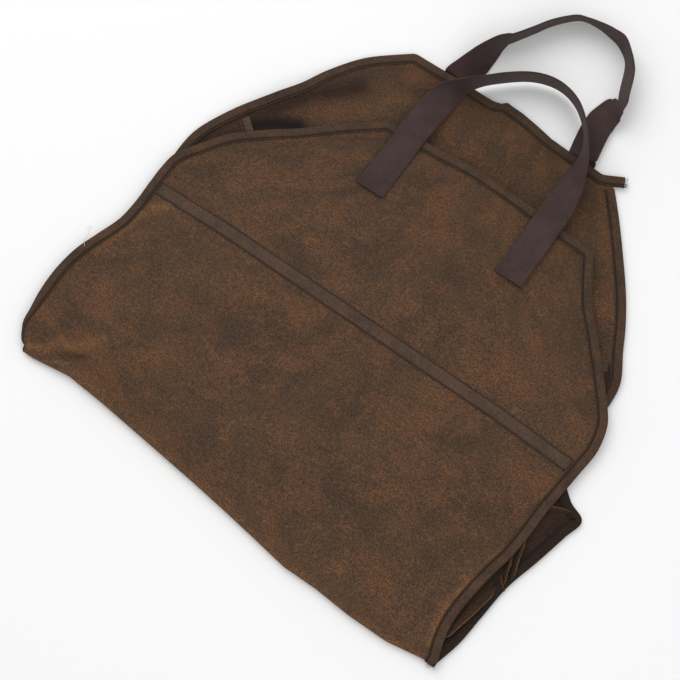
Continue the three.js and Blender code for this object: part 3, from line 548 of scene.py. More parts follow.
def make_piece(name, points, faces, material, maps=None, masks=None):
    """A mesh object from points in plan millimetres. maps: cloth coordinates, masks: named values."""
    mesh = bpy.data.meshes.new(name)
    placed_points = np.asarray(points) + PLACE
    placed_points[:, 2] = np.maximum(placed_points[:, 2], ON_SURFACE)
    mesh.from_pydata((placed_points * MM).tolist(), [], [list(face) for face in faces])
    mesh.update()
    mesh.polygons.foreach_set("use_smooth", [True] * len(mesh.polygons))
    if maps is not None:
        layer = mesh.uv_layers.new(name="cloth")
        corners = np.empty(len(mesh.loops), dtype=np.int32)
        mesh.loops.foreach_get("vertex_index", corners)
        layer.data.foreach_set("uv", (np.asarray(maps)[corners] * MM).astype(np.float32).ravel())
    for key, values in (masks or {}).items():
        attribute = mesh.attributes.new(key, "FLOAT", "POINT")
        attribute.data.foreach_set("value", np.asarray(values, dtype=np.float32).ravel())
    mesh.materials.append(material)
    piece = bpy.data.objects.new(name, mesh)
    bpy.context.scene.collection.objects.link(piece)
    return piece


def cover(piece, slot, *nodes):
    """The piece rides on the one body and takes the place of the nodes named."""
    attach(piece, "root")
    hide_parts(*nodes)
    return piece


def shell_piece(name, grid, grid_normal, thickness, material, maps, masks):
    """A cloth of even thickness. masks: the named values of its outer and its inner side."""
    rows, columns = grid.shape[:2]
    outer = (grid + grid_normal * thickness / 2).reshape(-1, 3)
    inner = (grid - grid_normal * thickness / 2).reshape(-1, 3)
    total = len(outer)
    index = np.arange(total).reshape(rows, columns)
    a, b = index[:-1, :-1].ravel(), index[1:, :-1].ravel()
    c, d = index[1:, 1:].ravel(), index[:-1, 1:].ravel()
    faces = np.concatenate([np.stack([a, b, c, d], 1), np.stack([d, c, b, a], 1) + total])
    rim = np.concatenate([index[:-1, 0], index[-1, :-1], index[:0:-1, -1], index[0, :0:-1]])
    after = np.roll(rim, -1)
    faces = np.concatenate([faces, np.stack([rim, rim + total, after + total, after], 1)])
    flat = maps.reshape(-1, 2)
    both = {
        key: np.concatenate([outside.ravel(), inside.ravel()]) for key, (outside, inside) in masks.items()
    }
    points = np.concatenate([outer, inner])
    return make_piece(name, points, faces, material, np.concatenate([flat, flat]), both)


def swept_piece(name, sections, profile_run, station_run, material, masks=None):
    """A closed section carried along its stations, with a flat cap at each end."""
    stations, count = sections.shape[:2]
    points = sections.reshape(-1, 3)
    faces = []
    for station in range(stations - 1):
        for corner in range(count):
            after = (corner + 1) % count
            a, b = station * count + corner, station * count + after
            faces.append((a, b, b + count, a + count))
    first = tuple(range(count - 1, -1, -1))
    last = tuple(range((stations - 1) * count, stations * count))
    faces += [first, last]
    run, along = np.meshgrid(profile_run, station_run)
    return make_piece(name, points, faces, material, np.stack([run, along], -1).reshape(-1, 2), masks)


# Materials

def new_group(name, inputs, outputs):
    group = bpy.data.node_groups.new(name, "ShaderNodeTree")
    for label, kind, value in inputs:
        socket = group.interface.new_socket(name=label, in_out="INPUT", socket_type=kind)
        if value is not None:
            socket.default_value = value
    for label, kind in outputs:
        group.interface.new_socket(name=label, in_out="OUTPUT", socket_type=kind)
    start = group.nodes.new("NodeGroupInput")
    end = group.nodes.new("NodeGroupOutput")
    return group, start, end


def node(tree, kind, inputs=None, **settings):
    made = tree.nodes.new(kind)
    for key, value in settings.items():
        setattr(made, key, value)
    for key, value in (inputs or {}).items():
        if isinstance(value, bpy.types.NodeSocket):
            tree.links.new(value, made.inputs[key])
        else:
            made.inputs[key].default_value = value
    return made


def maths(tree, operation, a, b=0.0, c=0.0):
    return node(tree, "ShaderNodeMath", {0: a, 1: b, 2: c}, operation=operation).outputs[0]


def spread(tree, value, low, high, out_low=0.0, out_high=1.0):
    made = node(tree, "ShaderNodeMapRange", {
        "Value": value, "From Min": low, "From Max": high, "To Min": out_low, "To Max": out_high,
    })
    return made.outputs["Result"]


def noise(tree, vector, scale, detail=2.0, rough=0.5, distortion=0.0):
    return node(tree, "ShaderNodeTexNoise", {
        "Vector": vector, "Scale": scale, "Detail": detail, "Roughness": rough, "Distortion": distortion,
    }).outputs["Fac"]


def blend_colour(tree, share, a, b, kind="MIX"):
    made = node(tree, "ShaderNodeMix", data_type="RGBA", blend_type=kind)
    for socket, value in ((0, share), (6, a), (7, b)):
        if isinstance(value, bpy.types.NodeSocket):
            tree.links.new(value, made.inputs[socket])
        else:
            made.inputs[socket].default_value = value
    return made.outputs[2]


def grey(tree, value):
    return node(tree, "ShaderNodeCombineColor", {0: value, 1: value, 2: value}).outputs[0]


def mask_of(tree, name):
    return node(tree, "ShaderNodeAttribute", attribute_name=name).outputs["Fac"]


def new_material(name):
    material = bpy.data.materials.new(name)
    material.use_nodes = True
    return material, material.node_tree, material.node_tree.nodes["Principled BSDF"]


def cloth_shine(shader, specular, sheen, sheen_rough, tint):
    shader.inputs["Specular IOR Level"].default_value = specular
    shader.inputs["Sheen Weight"].default_value = sheen
    shader.inputs["Sheen Roughness"].default_value = sheen_rough
    shader.inputs["Sheen Tint"].default_value = tint


def relief(tree, shader, height, strength, distance):
    made = node(tree, "ShaderNodeBump", {"Height": height, "Strength": strength, "Distance": distance})
    tree.links.new(made.outputs[0], shader.inputs["Normal"])


def weave_group():
    """Plain weave: crossing threads with slubs. Puts out the height and a dark mask between threads."""
    group, start, end = new_group(
        "plain_weave",
        [("Cloth", "NodeSocketVector", None), ("Threads per metre", "NodeSocketFloat", 1000.0),
         ("Slub", "NodeSocketFloat", 0.5)],
        [("Height", "NodeSocketFloat"), ("Grain", "NodeSocketFloat")],
    )
    cloth = start.outputs["Cloth"]
    split = node(group, "ShaderNodeSeparateXYZ", {0: cloth})
    pitch = maths(group, "MULTIPLY", start.outputs["Threads per metre"], math.pi)
    wobble = maths(group, "MULTIPLY", noise(group, cloth, scale=260.0, detail=1.0), 1.6)
    across = maths(group, "SINE", maths(group, "MULTIPLY_ADD", split.outputs[0], pitch, wobble))
    along = maths(group, "SINE", maths(group, "MULTIPLY_ADD", split.outputs[1], pitch, wobble))
    crossing = maths(group, "MULTIPLY", across, along)
    slub = noise(group, cloth, scale=500.0, detail=4.0, rough=0.78)
    height = maths(group, "MULTIPLY_ADD", crossing, 0.30,
                   maths(group, "MULTIPLY", slub, start.outputs["Slub"]))
    group.links.new(height, end.inputs["Height"])
    grain = spread(group, maths(group, "ADD", slub, maths(group, "MULTIPLY", crossing, 0.08)), 0.33, 0.67)
    group.links.new(grain, end.inputs["Grain"])
    return group


def mottle_group():
    """Waxed patches: cloudy colour of three tones, from large clouds down to small flecks."""
    group, start, end = new_group(
        "waxed_patches",
        [("Cloth", "NodeSocketVector", None), ("Dark", "NodeSocketColor", None),
         ("Middle", "NodeSocketColor", None), ("Rust", "NodeSocketColor", None),
         ("Line", "NodeSocketColor", None), ("Size", "NodeSocketFloat", 1.0)],
        [("Colour", "NodeSocketColor"), ("Wax", "NodeSocketFloat")],
    )
    cloth = node(group, "ShaderNodeVectorMath", {0: start.outputs["Cloth"], "Scale": start.outputs["Size"]},
                 operation="SCALE").outputs[0]
    clouds = noise(group, cloth, scale=11.0, detail=4.0, rough=0.62, distortion=0.4)
    patches = noise(group, cloth, scale=34.0, detail=4.0, rough=0.66, distortion=0.3)
    flecks = noise(group, cloth, scale=190.0, detail=3.0, rough=0.7)
    rust_clouds = noise(group, node(group, "ShaderNodeVectorMath", {0: cloth, 1: (3.7, 1.9, 0.4)},
                                    operation="ADD").outputs[0], 17.0, 5.0, 0.68, 0.5)
    dark = maths(group, "ADD", maths(group, "MULTIPLY", clouds, 0.6), maths(group, "MULTIPLY", patches, 0.4))
    dark_mask = spread(group, dark, 0.42, 0.60)
    tone = blend_colour(group, dark_mask, start.outputs["Dark"], start.outputs["Middle"])
    rust_flecks = maths(group, "MULTIPLY", flecks, 0.3)
    rust = maths(group, "MULTIPLY_ADD", rust_clouds, 0.7, rust_flecks)
    rust_mask = spread(group, rust, 0.46, 0.61, 0.0, 0.9)
    tone = blend_colour(group, rust_mask, tone, start.outputs["Rust"])
    fleck_mask = spread(group, flecks, 0.34, 0.66, 0.84, 1.14)
    tone = blend_colour(group, 1.0, tone, grey(group, fleck_mask), "MULTIPLY")
    wander = noise(group, cloth, scale=21.0, detail=3.0, rough=0.55, distortion=1.3)
    from_middle = maths(group, "ABSOLUTE", maths(group, "SUBTRACT", wander, 0.5))
    line = spread(group, from_middle, 0.0, 0.016, 1.0, 0.0)
    vein = maths(group, "MULTIPLY", line, spread(group, patches, 0.50, 0.66, 0.0, 0.55))
    tone = blend_colour(group, vein, tone, start.outputs["Line"])
    group.links.new(tone, end.inputs["Colour"])
    group.links.new(maths(group, "MULTIPLY_ADD", patches, 0.5, maths(group, "MULTIPLY", clouds, 0.5)),
                    end.inputs["Wax"])
    return group


weave = weave_group()
mottle = mottle_group()
RIB_PITCH = 0.0024
PICK_PITCH = 0.0018


def rgb(red, green, blue):
    """A colour given as the eye reads it, 0 to 255."""
    linear = []
    for value in (red, green, blue):
        share = value / 255
        linear.append(share / 12.92 if share <= 0.04045 else ((share + 0.055) / 1.055) ** 2.4)
    return (*linear, 1.0)


# Painted shade colours: one for the stitch grooves, the tape edges and the tapes' inner sides, one for the
# shaded places of the cloth
GROOVE_SHADE_COLOUR = rgb(19, 11, 7)
SHADE_COLOUR = rgb(18, 9, 6)


def cloth_material(name, dark, middle, rust, worn, threads, slub, size, rough, grain_depth, bump, masks):
    material, tree, shader = new_material(name)
    cloth = node(tree, "ShaderNodeUVMap", uv_map="cloth").outputs[0]
    weaving = node(tree, "ShaderNodeGroup", node_tree=weave)
    patches = node(tree, "ShaderNodeGroup", node_tree=mottle)
    for made in (weaving, patches):
        tree.links.new(cloth, made.inputs["Cloth"])
    weaving.inputs["Threads per metre"].default_value = threads
    weaving.inputs["Slub"].default_value = slub
    patches.inputs["Dark"].default_value = dark
    patches.inputs["Middle"].default_value = middle
    patches.inputs["Rust"].default_value = rust
    patches.inputs["Line"].default_value = worn
    patches.inputs["Size"].default_value = size
    colour = patches.outputs["Colour"]
    if "pale" in masks:
        rubbed = spread(tree, noise(tree, cloth, scale=90.0, detail=3.0, rough=0.7), 0.30, 0.62)
        broken = maths(tree, "MULTIPLY", mask_of(tree, "pale"), rubbed)
        colour = blend_colour(tree, broken, colour, worn)
    grain = spread(tree, weaving.outputs["Grain"], 0.0, 1.0, 1 - grain_depth, 1 + grain_depth * 0.8)
    colour = blend_colour(tree, 1.0, colour, grey(tree, grain), "MULTIPLY")
    # Painted shade: in the grooves and along the edges of the tapes, and where the light is kept off the
    # cloth
    for mask, darker in (("groove_shade", GROOVE_SHADE_COLOUR), ("shade", SHADE_COLOUR)):
        if mask in masks:
            colour = blend_colour(tree, mask_of(tree, mask), colour, darker)
    tree.links.new(colour, shader.inputs["Base Color"])
    gloss = spread(tree, patches.outputs["Wax"], 0.35, 0.65, rough - 0.07, rough + 0.05)
    tree.links.new(gloss, shader.inputs["Roughness"])
    cloth_shine(shader, specular=0.22, sheen=0.05, sheen_rough=0.45, tint=(0.75, 0.62, 0.5, 1.0))
    relief(tree, shader, weaving.outputs["Height"], strength=bump, distance=0.0007)
    return material


canvas = cloth_material(
    "waxed_canvas", dark=rgb(75, 56, 41), middle=rgb(89, 66, 47), rust=rgb(105, 71, 48),
    worn=rgb(138, 97, 60), threads=1050.0, slub=0.9, size=1.0, rough=0.76, grain_depth=0.86,
    bump=1.0, masks=("pale", "shade"),
)
binding_cloth = cloth_material(
    "binding_tape", dark=rgb(63, 48, 37), middle=rgb(78, 59, 45), rust=rgb(88, 62, 45),
    worn=rgb(112, 84, 60), threads=1300.0, slub=0.8, size=1.6, rough=0.82, grain_depth=0.46,
    bump=0.8, masks=("groove_shade", "shade"),
)
tape_cloth = cloth_material(
    "seam_tape_cloth", dark=rgb(72, 56, 45), middle=rgb(84, 66, 54), rust=rgb(91, 68, 53),
    worn=rgb(112, 91, 76), threads=1300.0, slub=0.8, size=1.6, rough=0.82, grain_depth=0.42,
    bump=0.8, masks=("groove_shade",),
)


def webbing_material():
    material, tree, shader = new_material("cotton_webbing")
    cloth = node(tree, "ShaderNodeUVMap", uv_map="cloth").outputs[0]
    split = node(tree, "ShaderNodeSeparateXYZ", {0: cloth})
    ribs = maths(tree, "SINE", maths(tree, "MULTIPLY", split.outputs[0], 2 * math.pi / RIB_PITCH))
    picks = maths(tree, "SINE", maths(tree, "MULTIPLY", split.outputs[1], 2 * math.pi / PICK_PITCH))
    fuzz = noise(tree, cloth, scale=900.0, detail=3.0, rough=0.7)
    clouds = noise(tree, cloth, scale=24.0, detail=3.0, rough=0.6)
    tone = blend_colour(tree, spread(tree, clouds, 0.38, 0.62), rgb(57, 41, 40), rgb(71, 53, 52))
    ribbed_fuzz = maths(tree, "ADD", fuzz, maths(tree, "MULTIPLY", ribs, 0.07))
    shade = spread(tree, ribbed_fuzz, 0.30, 0.75, 0.66, 1.28)
    tone = blend_colour(tree, 1.0, tone, grey(tree, shade), "MULTIPLY")
    tree.links.new(tone, shader.inputs["Base Color"])
    tree.links.new(spread(tree, clouds, 0.35, 0.65, 0.70, 0.82), shader.inputs["Roughness"])
    cloth_shine(shader, specular=0.3, sheen=0.10, sheen_rough=0.4, tint=(0.8, 0.68, 0.66, 1.0))
    height = maths(tree, "ADD", maths(tree, "MULTIPLY", ribs, 0.35),
                   maths(tree, "MULTIPLY_ADD", picks, 0.22, maths(tree, "MULTIPLY", fuzz, 0.6)))
    relief(tree, shader, height, strength=0.8, distance=0.0006)
    return material


def thread_material(name, colour, light):
    material, tree, shader = new_material(name)
    place = node(tree, "ShaderNodeTexCoord").outputs["Object"]
    fibres = noise(tree, place, scale=1400.0, detail=2.0)
    tree.links.new(blend_colour(tree, fibres, colour, light), shader.inputs["Base Color"])
    tree.links.new(spread(tree, fibres, 0.2, 0.8, 0.55, 0.8), shader.inputs["Roughness"])
    relief(tree, shader, fibres, strength=0.5, distance=0.0002)
    return material


webbing = webbing_material()
brown_thread = thread_material("brown_thread", rgb(24, 18, 14), rgb(42, 33, 26))
pale_thread = thread_material("pale_thread", rgb(176, 172, 164), rgb(214, 210, 203))


# Cloth pieces

def paleness(first, last):
    """Where the cloth is rubbed pale: on the small folds of the front, and along the bottom fold."""
    part = sheet[first:last + 1]
    pale = np.zeros(part.shape[:2])
    top = min(last, ROW["front_fold"]) - first
    if top > 0:
        pale[:top + 1] = fold_shape(FRONT_FOLDS, part[:top + 1, :, 0], part[:top + 1, :, 1])[1]
    rows = np.arange(first, last + 1)
    middle = (ROW["front_fold"] + ROW["back_fold"]) / 2
    along_fold = np.exp(-((rows - middle) / FOLD_RUB["rows"]) ** 2) * FOLD_RUB["pale"]
    return np.maximum(pale, along_fold[:, None])


def is_behind(rows):
    """Whether the rows lie in the back layer."""
    return np.asarray(rows) > (ROW["front_fold"] + ROW["back_fold"]) / 2


def shade_of(points, rows):
    """How much darker the lower layer is, where the upper one and the folds keep the light off it."""
    x, y = points[..., 0], points[..., 1]

    def along_lines(lines):
        dark = np.zeros(x.shape)
        for line, half, depth in lines:
            away = distance_to_line(np.array(line, float), x, y)
            dark = np.maximum(dark, depth * np.exp(-(away / half) ** 2))
        return dark

    across_tip = smooth((x - TIP_SHADE["from_x"]) / TIP_SHADE["x_run"])
    up_tip = 1 - smooth((y - TIP_SHADE["to_y"]) / TIP_SHADE["y_run"])
    tip = across_tip * up_tip * TIP_SHADE["depth"]
    behind = is_behind(rows)
    behind = behind.reshape(behind.shape + (1,) * (x.ndim - behind.ndim))
    return np.where(behind, np.maximum(tip, along_lines(SHADED)), along_lines(FRONT_SHADED))


def sheet_piece(name, first, last, front_short, back_short, cad):
    """The rows first to last of the sheet, held back by half a gap where they meet the next piece."""
    grid = sheet[first:last + 1].copy()
    normal = normals[first:last + 1]
    if front_short:
        grid[0] = mix(grid[0], grid[1], GAP / 2 / ROW_PITCH)
    if back_short:
        grid[-1] = mix(grid[-1], grid[-2], GAP / 2 / ROW_PITCH)
    pale = paleness(first, last)
    rows = np.arange(first, last + 1)
    shade = shade_of(grid, rows)
    behind = is_behind(rows)[:, None]
    masks = {"pale": (pale, pale), "shade": (np.where(behind, 0, shade), np.where(behind, shade, 0))}
    piece = shell_piece(name, grid, normal, CANVAS, canvas, cloth_map[first:last + 1], masks)
    return cover(piece, "canvas", cad)


front_flap = sheet_piece("front_flap_cloth", 0, ROW["front_seam"], False, True, "front_flap")
body = sheet_piece("body_cloth", ROW["front_seam"], ROW["back_seam"], True, True, "body_canvas")
back_flap = sheet_piece("back_flap_cloth", ROW["back_seam"], ROW["back_top"], True, False, "back_flap")


# Bindings: a tape folded over the edge, sewn through near its inner edge

LIP_LEAST = 0.08
TUCKED_IN = 1.5
TUCKED_THIN = 0.35
NOSE_ANGLES = range(75, -76, -25)
INNER_PLACES = (11.8, 6.0, 0.3)
# Painted shade on the inner side of a tape, which lies against the cloth
INNER_SIDE_SHADE = 0.6


def binding_profile():
    """Section of the tape: (distance in from the edge, height share), and its painted shade, darkest in the
    stitch groove near its inner edge.
    """
    top = [
        (12.0, 0.86), (11.6, 1.02), (11.0, 1.04), (10.4, 0.78), (9.8, 0.66), (9.2, 0.80), (8.4, 1.10),
        (6.5, 1.22), (4.5, 1.24), (2.5, 1.18), (1.0, 1.08),
    ]
    groove_shade = [0.35, 0.15, 0.25, 0.75, 1.0, 0.7, 0.2, 0, 0, 0, 0]
    return top, groove_shade


def shown_share(lip):
    """0 where the tape is so narrow that it lies tucked in behind the cloth, otherwise 1."""
    return smooth((lip - LIP_LEAST) / (4 * LIP_LEAST))


def swept_binding(name, edge, inset, edge_normal, inset_normal, inside, cad, lip=None, shade=None):
    """A tape round the edge. lip: share of its width at each station. shade: how dark it is there."""
    slot, material = ("tape", tape_cloth) if "end" in name else ("binding", binding_cloth)
    top, groove_shade = binding_profile()
    lip = np.ones(len(edge)) if lip is None else lip
    shade = np.zeros(len(edge)) if shade is None else shade
    outward = unit(edge - inset)
    shown = shown_share(lip)
    inner_top = HALF_CANVAS + GAP
    sections, mask = [], []
    nose = [math.radians(angle) for angle in NOSE_ANGLES]

    def place(distance, height):
        share = (max(distance, 0) / BORDER * lip)[:, None]
        base = mix(edge, inset, share)
        way = unit(mix(edge_normal, inset_normal, share))
        reach = mix(-TUCKED_IN, max(-distance, 0), shown)
        return base + way * (height * mix(TUCKED_THIN, 1.0, shown))[:, None] + outward * reach[:, None]

    full = np.ones(len(edge))
    middle = (-inside) / 2
    reach_high = HALF_CANVAS + GAP + BINDING_WALL
    for (distance, share), dark in zip(top, groove_shade):
        sections.append(place(distance, full * (inner_top + BINDING_WALL * share)))
        mask.append(dark)
    for angle in nose:
        height = middle + (reach_high + inside / 2) * math.sin(angle) * 1.04
        sections.append(place(-BINDING_REACH * math.cos(angle) * 1.1, height))
        mask.append(0.0)
    for (distance, share), dark in reversed(list(zip(top, groove_shade))):
        sections.append(place(distance, -(inner_top + BINDING_WALL * share + inside)))
        mask.append(dark)
    for distance in INNER_PLACES:
        sections.append(place(distance, -(inner_top + inside)))
        mask.append(INNER_SIDE_SHADE)
    for angle in nose[::-2]:
        height = middle + (inner_top + inside / 2) * math.sin(angle)
        sections.append(place(-GAP * math.cos(angle), height))
        mask.append(INNER_SIDE_SHADE)
    for distance in INNER_PLACES[::-1]:
        sections.append(place(distance, full * inner_top))
        mask.append(INNER_SIDE_SHADE)
    faces_inside = np.arange(len(mask)) >= len(top)
    sections = np.stack(sections, axis=1)
    masks = {"groove_shade": np.tile(mask, len(edge)), "shade": np.outer(shade, faces_inside).ravel()}
    piece = swept_piece(name, sections, travelled(sections[0]), travelled(edge), material, masks)
    return cover(piece, slot, cad)


def stitch_run(name, centers, ups, kind):
    """A row of sewn stitches along the points centers, each a short thread that dips at both ends."""
    pitch, length, radius = STITCHES[kind]
    along = travelled(centers)
    count = int(along[-1] // pitch)
    points, faces = [], []
    rings, sides = 5, 5
    for index in range(count):
        start = index * pitch + random_state.uniform(-STITCH_WANDER, STITCH_WANDER)
        marks = np.linspace(start, start + length, rings)
        line = np.stack([np.interp(marks, along, centers[:, axis]) for axis in range(3)], 1)
        up = unit(np.stack([np.interp(marks, along, ups[:, axis]) for axis in range(3)], 1))
        way = unit(line[-1] - line[0])
        base = len(points)
        for ring in range(rings):
            share = ring / (rings - 1)
            arch = math.sin(math.pi * share)
            size = radius * (0.55 + 0.45 * arch)
            lift = radius * (arch * 1.1 - 0.75)
            side = unit(np.cross(way, up[ring]))
            for corner in range(sides):
                angle = 2 * math.pi * corner / sides
                points.append(line[ring] + up[ring] * (lift + size * math.sin(angle))
                              + side * size * math.cos(angle))
        for ring in range(rings - 1):
            for corner in range(sides):
                after = (corner + 1) % sides
                a, b = base + ring * sides + corner, base + ring * sides + after
                faces.append((a, b, b + sides, a + sides))
        faces.append(tuple(base + corner for corner in range(sides - 1, -1, -1)))
        faces.append(tuple(base + (rings - 1) * sides + corner for corner in range(sides)))
    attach(make_piece(name, np.array(points), faces, brown_thread), "root")


def side_path(rows, column):
    inset = STRIP if column == 0 else LAST - STRIP
    rows = np.asarray(rows)
    return sheet[rows, column], sheet[rows, inset], normals[rows, column], normals[rows, inset]


def top_path(row, inset_row, columns):
    columns = np.asarray(columns)
    return sheet[row, columns], sheet[inset_row, columns], normals[row, columns], normals[inset_row, columns]


def corner_path(row, step, column):
    """Round the corner of a top edge, from the side up to the top."""
    side = 0 if column == 0 else LAST
    inward = 1 if column == 0 else -1
    hub_row, hub_column = row + step * STRIP, side + inward * STRIP
    places = [(hub_row - step * k, side) for k in range(1, STRIP + 1)]
    places += [(row, side + inward * k) for k in range(1, STRIP)]
    edge = np.array([sheet[r, c] for r, c in places])
    hub = np.repeat(sheet[hub_row, hub_column][None], len(places), axis=0)
    hub_normal = np.repeat(normals[hub_row, hub_column][None], len(places), axis=0)
    return edge, hub, hub_normal, hub_normal


def joined(parts):
    return [np.concatenate(column) for column in zip(*parts)]


HELD_FADE = 5
ROLLED_ROWS = {"front": 34, "back": 20}


def held_panel(rows, shoulder):
    """How much end panel lies inside the binding at each row of the sheet."""
    rows = np.asarray(rows)
    reach = int(shoulder * STEPS)
    on_front = (rows >= ROW["front_seam"] - reach) & (rows < ROW["front_fold"])
    on_back = (rows > ROW["back_fold"]) & (rows <= ROW["back_seam"] + reach)
    held = np.where(on_front | on_back, PLY, 0.0)
    kernel = np.ones(HELD_FADE) / HELD_FADE
    return np.convolve(np.pad(held, HELD_FADE // 2, mode="edge"), kernel, mode="valid")


FIRST_SIDE = STRIP
LAST_SIDE = ROW["back_top"] - STRIP
FRONT_JOINTS = {"left": STRIP + 22, "right": LAST - STRIP - 33}
BACK_JOINT = STRIP + 55

side_rows = np.arange(FIRST_SIDE, LAST_SIDE + 1)
front_columns = np.arange(FRONT_JOINTS["left"], STRIP - 1, -1)
back_columns = np.arange(STRIP, BACK_JOINT + 1)


def rolled_lip(rows):
    """The left binding rolls under at the bottom corner, so that less of it shows there."""
    rows = np.asarray(rows, float)
    before = smooth((ROW["front_fold"] - rows) / ROLLED_ROWS["front"])
    after = smooth((rows - ROW["back_fold"]) / ROLLED_ROWS["back"])
    return mix(LIP_LEAST, 1.0, np.maximum(before, after))


def reversed_path(path):
    return [column[::-1] for column in path]


left_parts = [
    top_path(0, STRIP, front_columns),
    reversed_path(corner_path(0, 1, 0)),
    side_path(side_rows, 0),
    corner_path(ROW["back_top"], -1, 0),
    top_path(ROW["back_top"], ROW["back_top"] - STRIP, back_columns),
]
left_path = joined(left_parts)
left_inside = np.concatenate([
    np.zeros(len(front_columns) + len(left_parts[1][0])),
    held_panel(side_rows, SHOULDERS["left"]),
    np.zeros(len(left_parts[3][0]) + len(back_columns)),
])
left_rows = np.concatenate([
    np.zeros(len(front_columns) + len(left_parts[1][0])), side_rows,
    np.full(len(left_parts[3][0]) + len(back_columns), ROW["back_top"]),
])
right_rows = side_rows[:-1]
right_front = np.arange(LAST - STRIP, FRONT_JOINTS["right"] - 1, -1)
right_parts = [
    reversed_path(side_path(right_rows, LAST)),
    corner_path(0, 1, LAST),
    top_path(0, STRIP, right_front),
]
right_path = joined(right_parts)
right_top = np.zeros(len(right_parts[1][0]) + len(right_front))
right_inside = np.concatenate([held_panel(right_rows, SHOULDERS["right"])[::-1], right_top])
right_station_rows = np.concatenate([right_rows[::-1], right_top])
top_front_path = top_path(0, STRIP, np.arange(FRONT_JOINTS["right"], FRONT_JOINTS["left"] - 1, -1))
back_top_columns = np.arange(BACK_JOINT, LAST - STRIP + 1)


def with_frayed_end(path):
    """The back top binding leaves the edge near the corner and runs on past it to its frayed end."""
    kept = [column[:len(column) - FRAY_LEAVES] for column in path]
    way = kept[0][-1] - kept[0][-3]
    steps = np.linspace(0, 1, FRAY_STEPS + 1)[1:]
    heading = math.atan2(way[1], way[0]) + math.radians(FRAY_BEND) * smooth(steps * 4)
    stride = FRAY_LENGTH / FRAY_STEPS
    run_x, run_y = np.cumsum(np.cos(heading) * stride), np.cumsum(np.sin(heading) * stride)
    edges = kept[0][-1] + np.stack([run_x, run_y, 1.2 * smooth(steps)], axis=1)
    inward = np.stack([np.sin(heading), -np.cos(heading), np.zeros(FRAY_STEPS)], axis=1)
    ends = [edges, edges + inward * BORDER]
    ends += [np.repeat(column[-1:], FRAY_STEPS, axis=0) for column in kept[2:]]
    return joined([kept, ends])


top_back_path = with_frayed_end(top_path(ROW["back_top"], ROW["back_top"] - STRIP, back_top_columns))


def trimmed(path, start, end):
    """The path with each end held back a little, where one length of tape meets the next."""
    path = [column.copy() for column in path]
    for index, after, distance in ((0, 1, start), (-1, -2, end)):
        share = distance / np.linalg.norm(path[0][index] - path[0][after])
        path[0][index] = mix(path[0][index], path[0][after], share)
        path[1][index] = mix(path[1][index], path[1][after], share)
    return path


# The four lengths of binding: path, cloth inside, how far each end is held back, node, rows of the sheet
BUTT = GAP / 2
BINDINGS = [
    ("left_binding_tape", left_path, left_inside, (BUTT, BUTT), "binding_left", left_rows),
    ("right_binding_tape", right_path, right_inside, (BUTT, BUTT), "binding_right", right_station_rows),
    ("front_top_binding_tape", top_front_path, None, (BUTT, BUTT), "binding_top_front", None),
    ("back_top_binding_tape", top_back_path, None, (BUTT, 0.0), "binding_top_back", None),
]
STITCH_IN = 9.9
STITCH_SUNK = 0.72
for name, path, inside, (start, end), cad, rows in BINDINGS:
    path = trimmed(path, start, end)
    depth = inside if inside is not None else np.zeros(len(path[0]))
    lip, shade = np.ones(len(path[0])), np.zeros(len(path[0]))
    if rows is not None:
        shade = shade_of(path[0], rows) * BINDING_SHADE
    if cad == "binding_left":
        lip = rolled_lip(rows)
    swept_binding(name, *path, depth, cad, lip, shade)
    share = (STITCH_IN / BORDER * lip)[:, None]
    line = mix(path[0], path[1], share)
    ups = unit(mix(path[2], path[3], share))
    high = HALF_CANVAS + GAP + BINDING_WALL * STITCH_SUNK
    thin = mix(TUCKED_THIN, 1.0, shown_share(lip))
    for side, offset in (("upper", high * thin), ("lower", -(high + depth) * thin)):
        way = ups if side == "upper" else -ups
        stitch_run(f"{cad}_{side}_stitches", line + ups * offset[:, None], way, "binding")


# Seam tapes, sewn along both edges

TAPE_REACH = 4
TAPE_STITCH_CORNERS = {"first": 3, "second": 11}
STITCH_LIFT = 0.15


def seam_tape(name, seam_row, cad):
    columns = np.arange(STRIP, LAST - STRIP + 1)
    rows = np.arange(seam_row - TAPE_REACH, seam_row + TAPE_REACH + 1)
    path = sheet[np.ix_(rows, columns)]
    along = travelled(path)
    along -= along[TAPE_REACH]
    half = SEAM_TAPE_WIDTH / 2
    profile = [
        (-half, 0.15), (-half + 0.2, 0.85), (-half + 0.8, 0.98), (-half + 1.4, 0.60), (-half + 2.0, 0.92),
        (-half + 3.2, 1.05), (-3.0, 1.10), (0.0, 1.12), (3.0, 1.10), (half - 3.2, 1.05),
        (half - 2.0, 0.92), (half - 1.4, 0.60), (half - 0.8, 0.98), (half - 0.2, 0.85), (half, 0.15),
    ]
    # Painted shade at each place of the tape: darkest in the stitch grooves beside its edges, also dark at
    # the edges
    groove_shade = [0.7, 0.4, 0.25, 1.0, 0.3, 0, 0, 0, 0, 0, 0.3, 1.0, 0.25, 0.4, 0.7]
    under = [(half, 0.0), (0.0, 0.0), (-half, 0.0)]
    loop = profile + under
    mask = groove_shade + [INNER_SIDE_SHADE] * len(under)
    ups = normals[seam_row, columns]
    sections = np.zeros((len(columns), len(loop), 3))
    for order, up in enumerate(ups):
        for corner, (distance, height) in enumerate(loop):
            point = [np.interp(distance, along[:, order], path[:, order, axis]) for axis in range(3)]
            lift = HALF_CANVAS + GAP * 0.6 + SEAM_TAPE_WALL * height
            sections[order, corner] = np.array(point) + up * lift
    run = np.array([distance for distance, height in loop])
    masks = {"groove_shade": np.tile(mask, len(columns))}
    cover(swept_piece(name, sections, run, CLOTH_ACROSS[columns], tape_cloth, masks), "tape", cad)
    for key, corner in TAPE_STITCH_CORNERS.items():
        stitch_run(f"{cad}_{key}_stitches", sections[:, corner] + ups * STITCH_LIFT, ups, "tape")


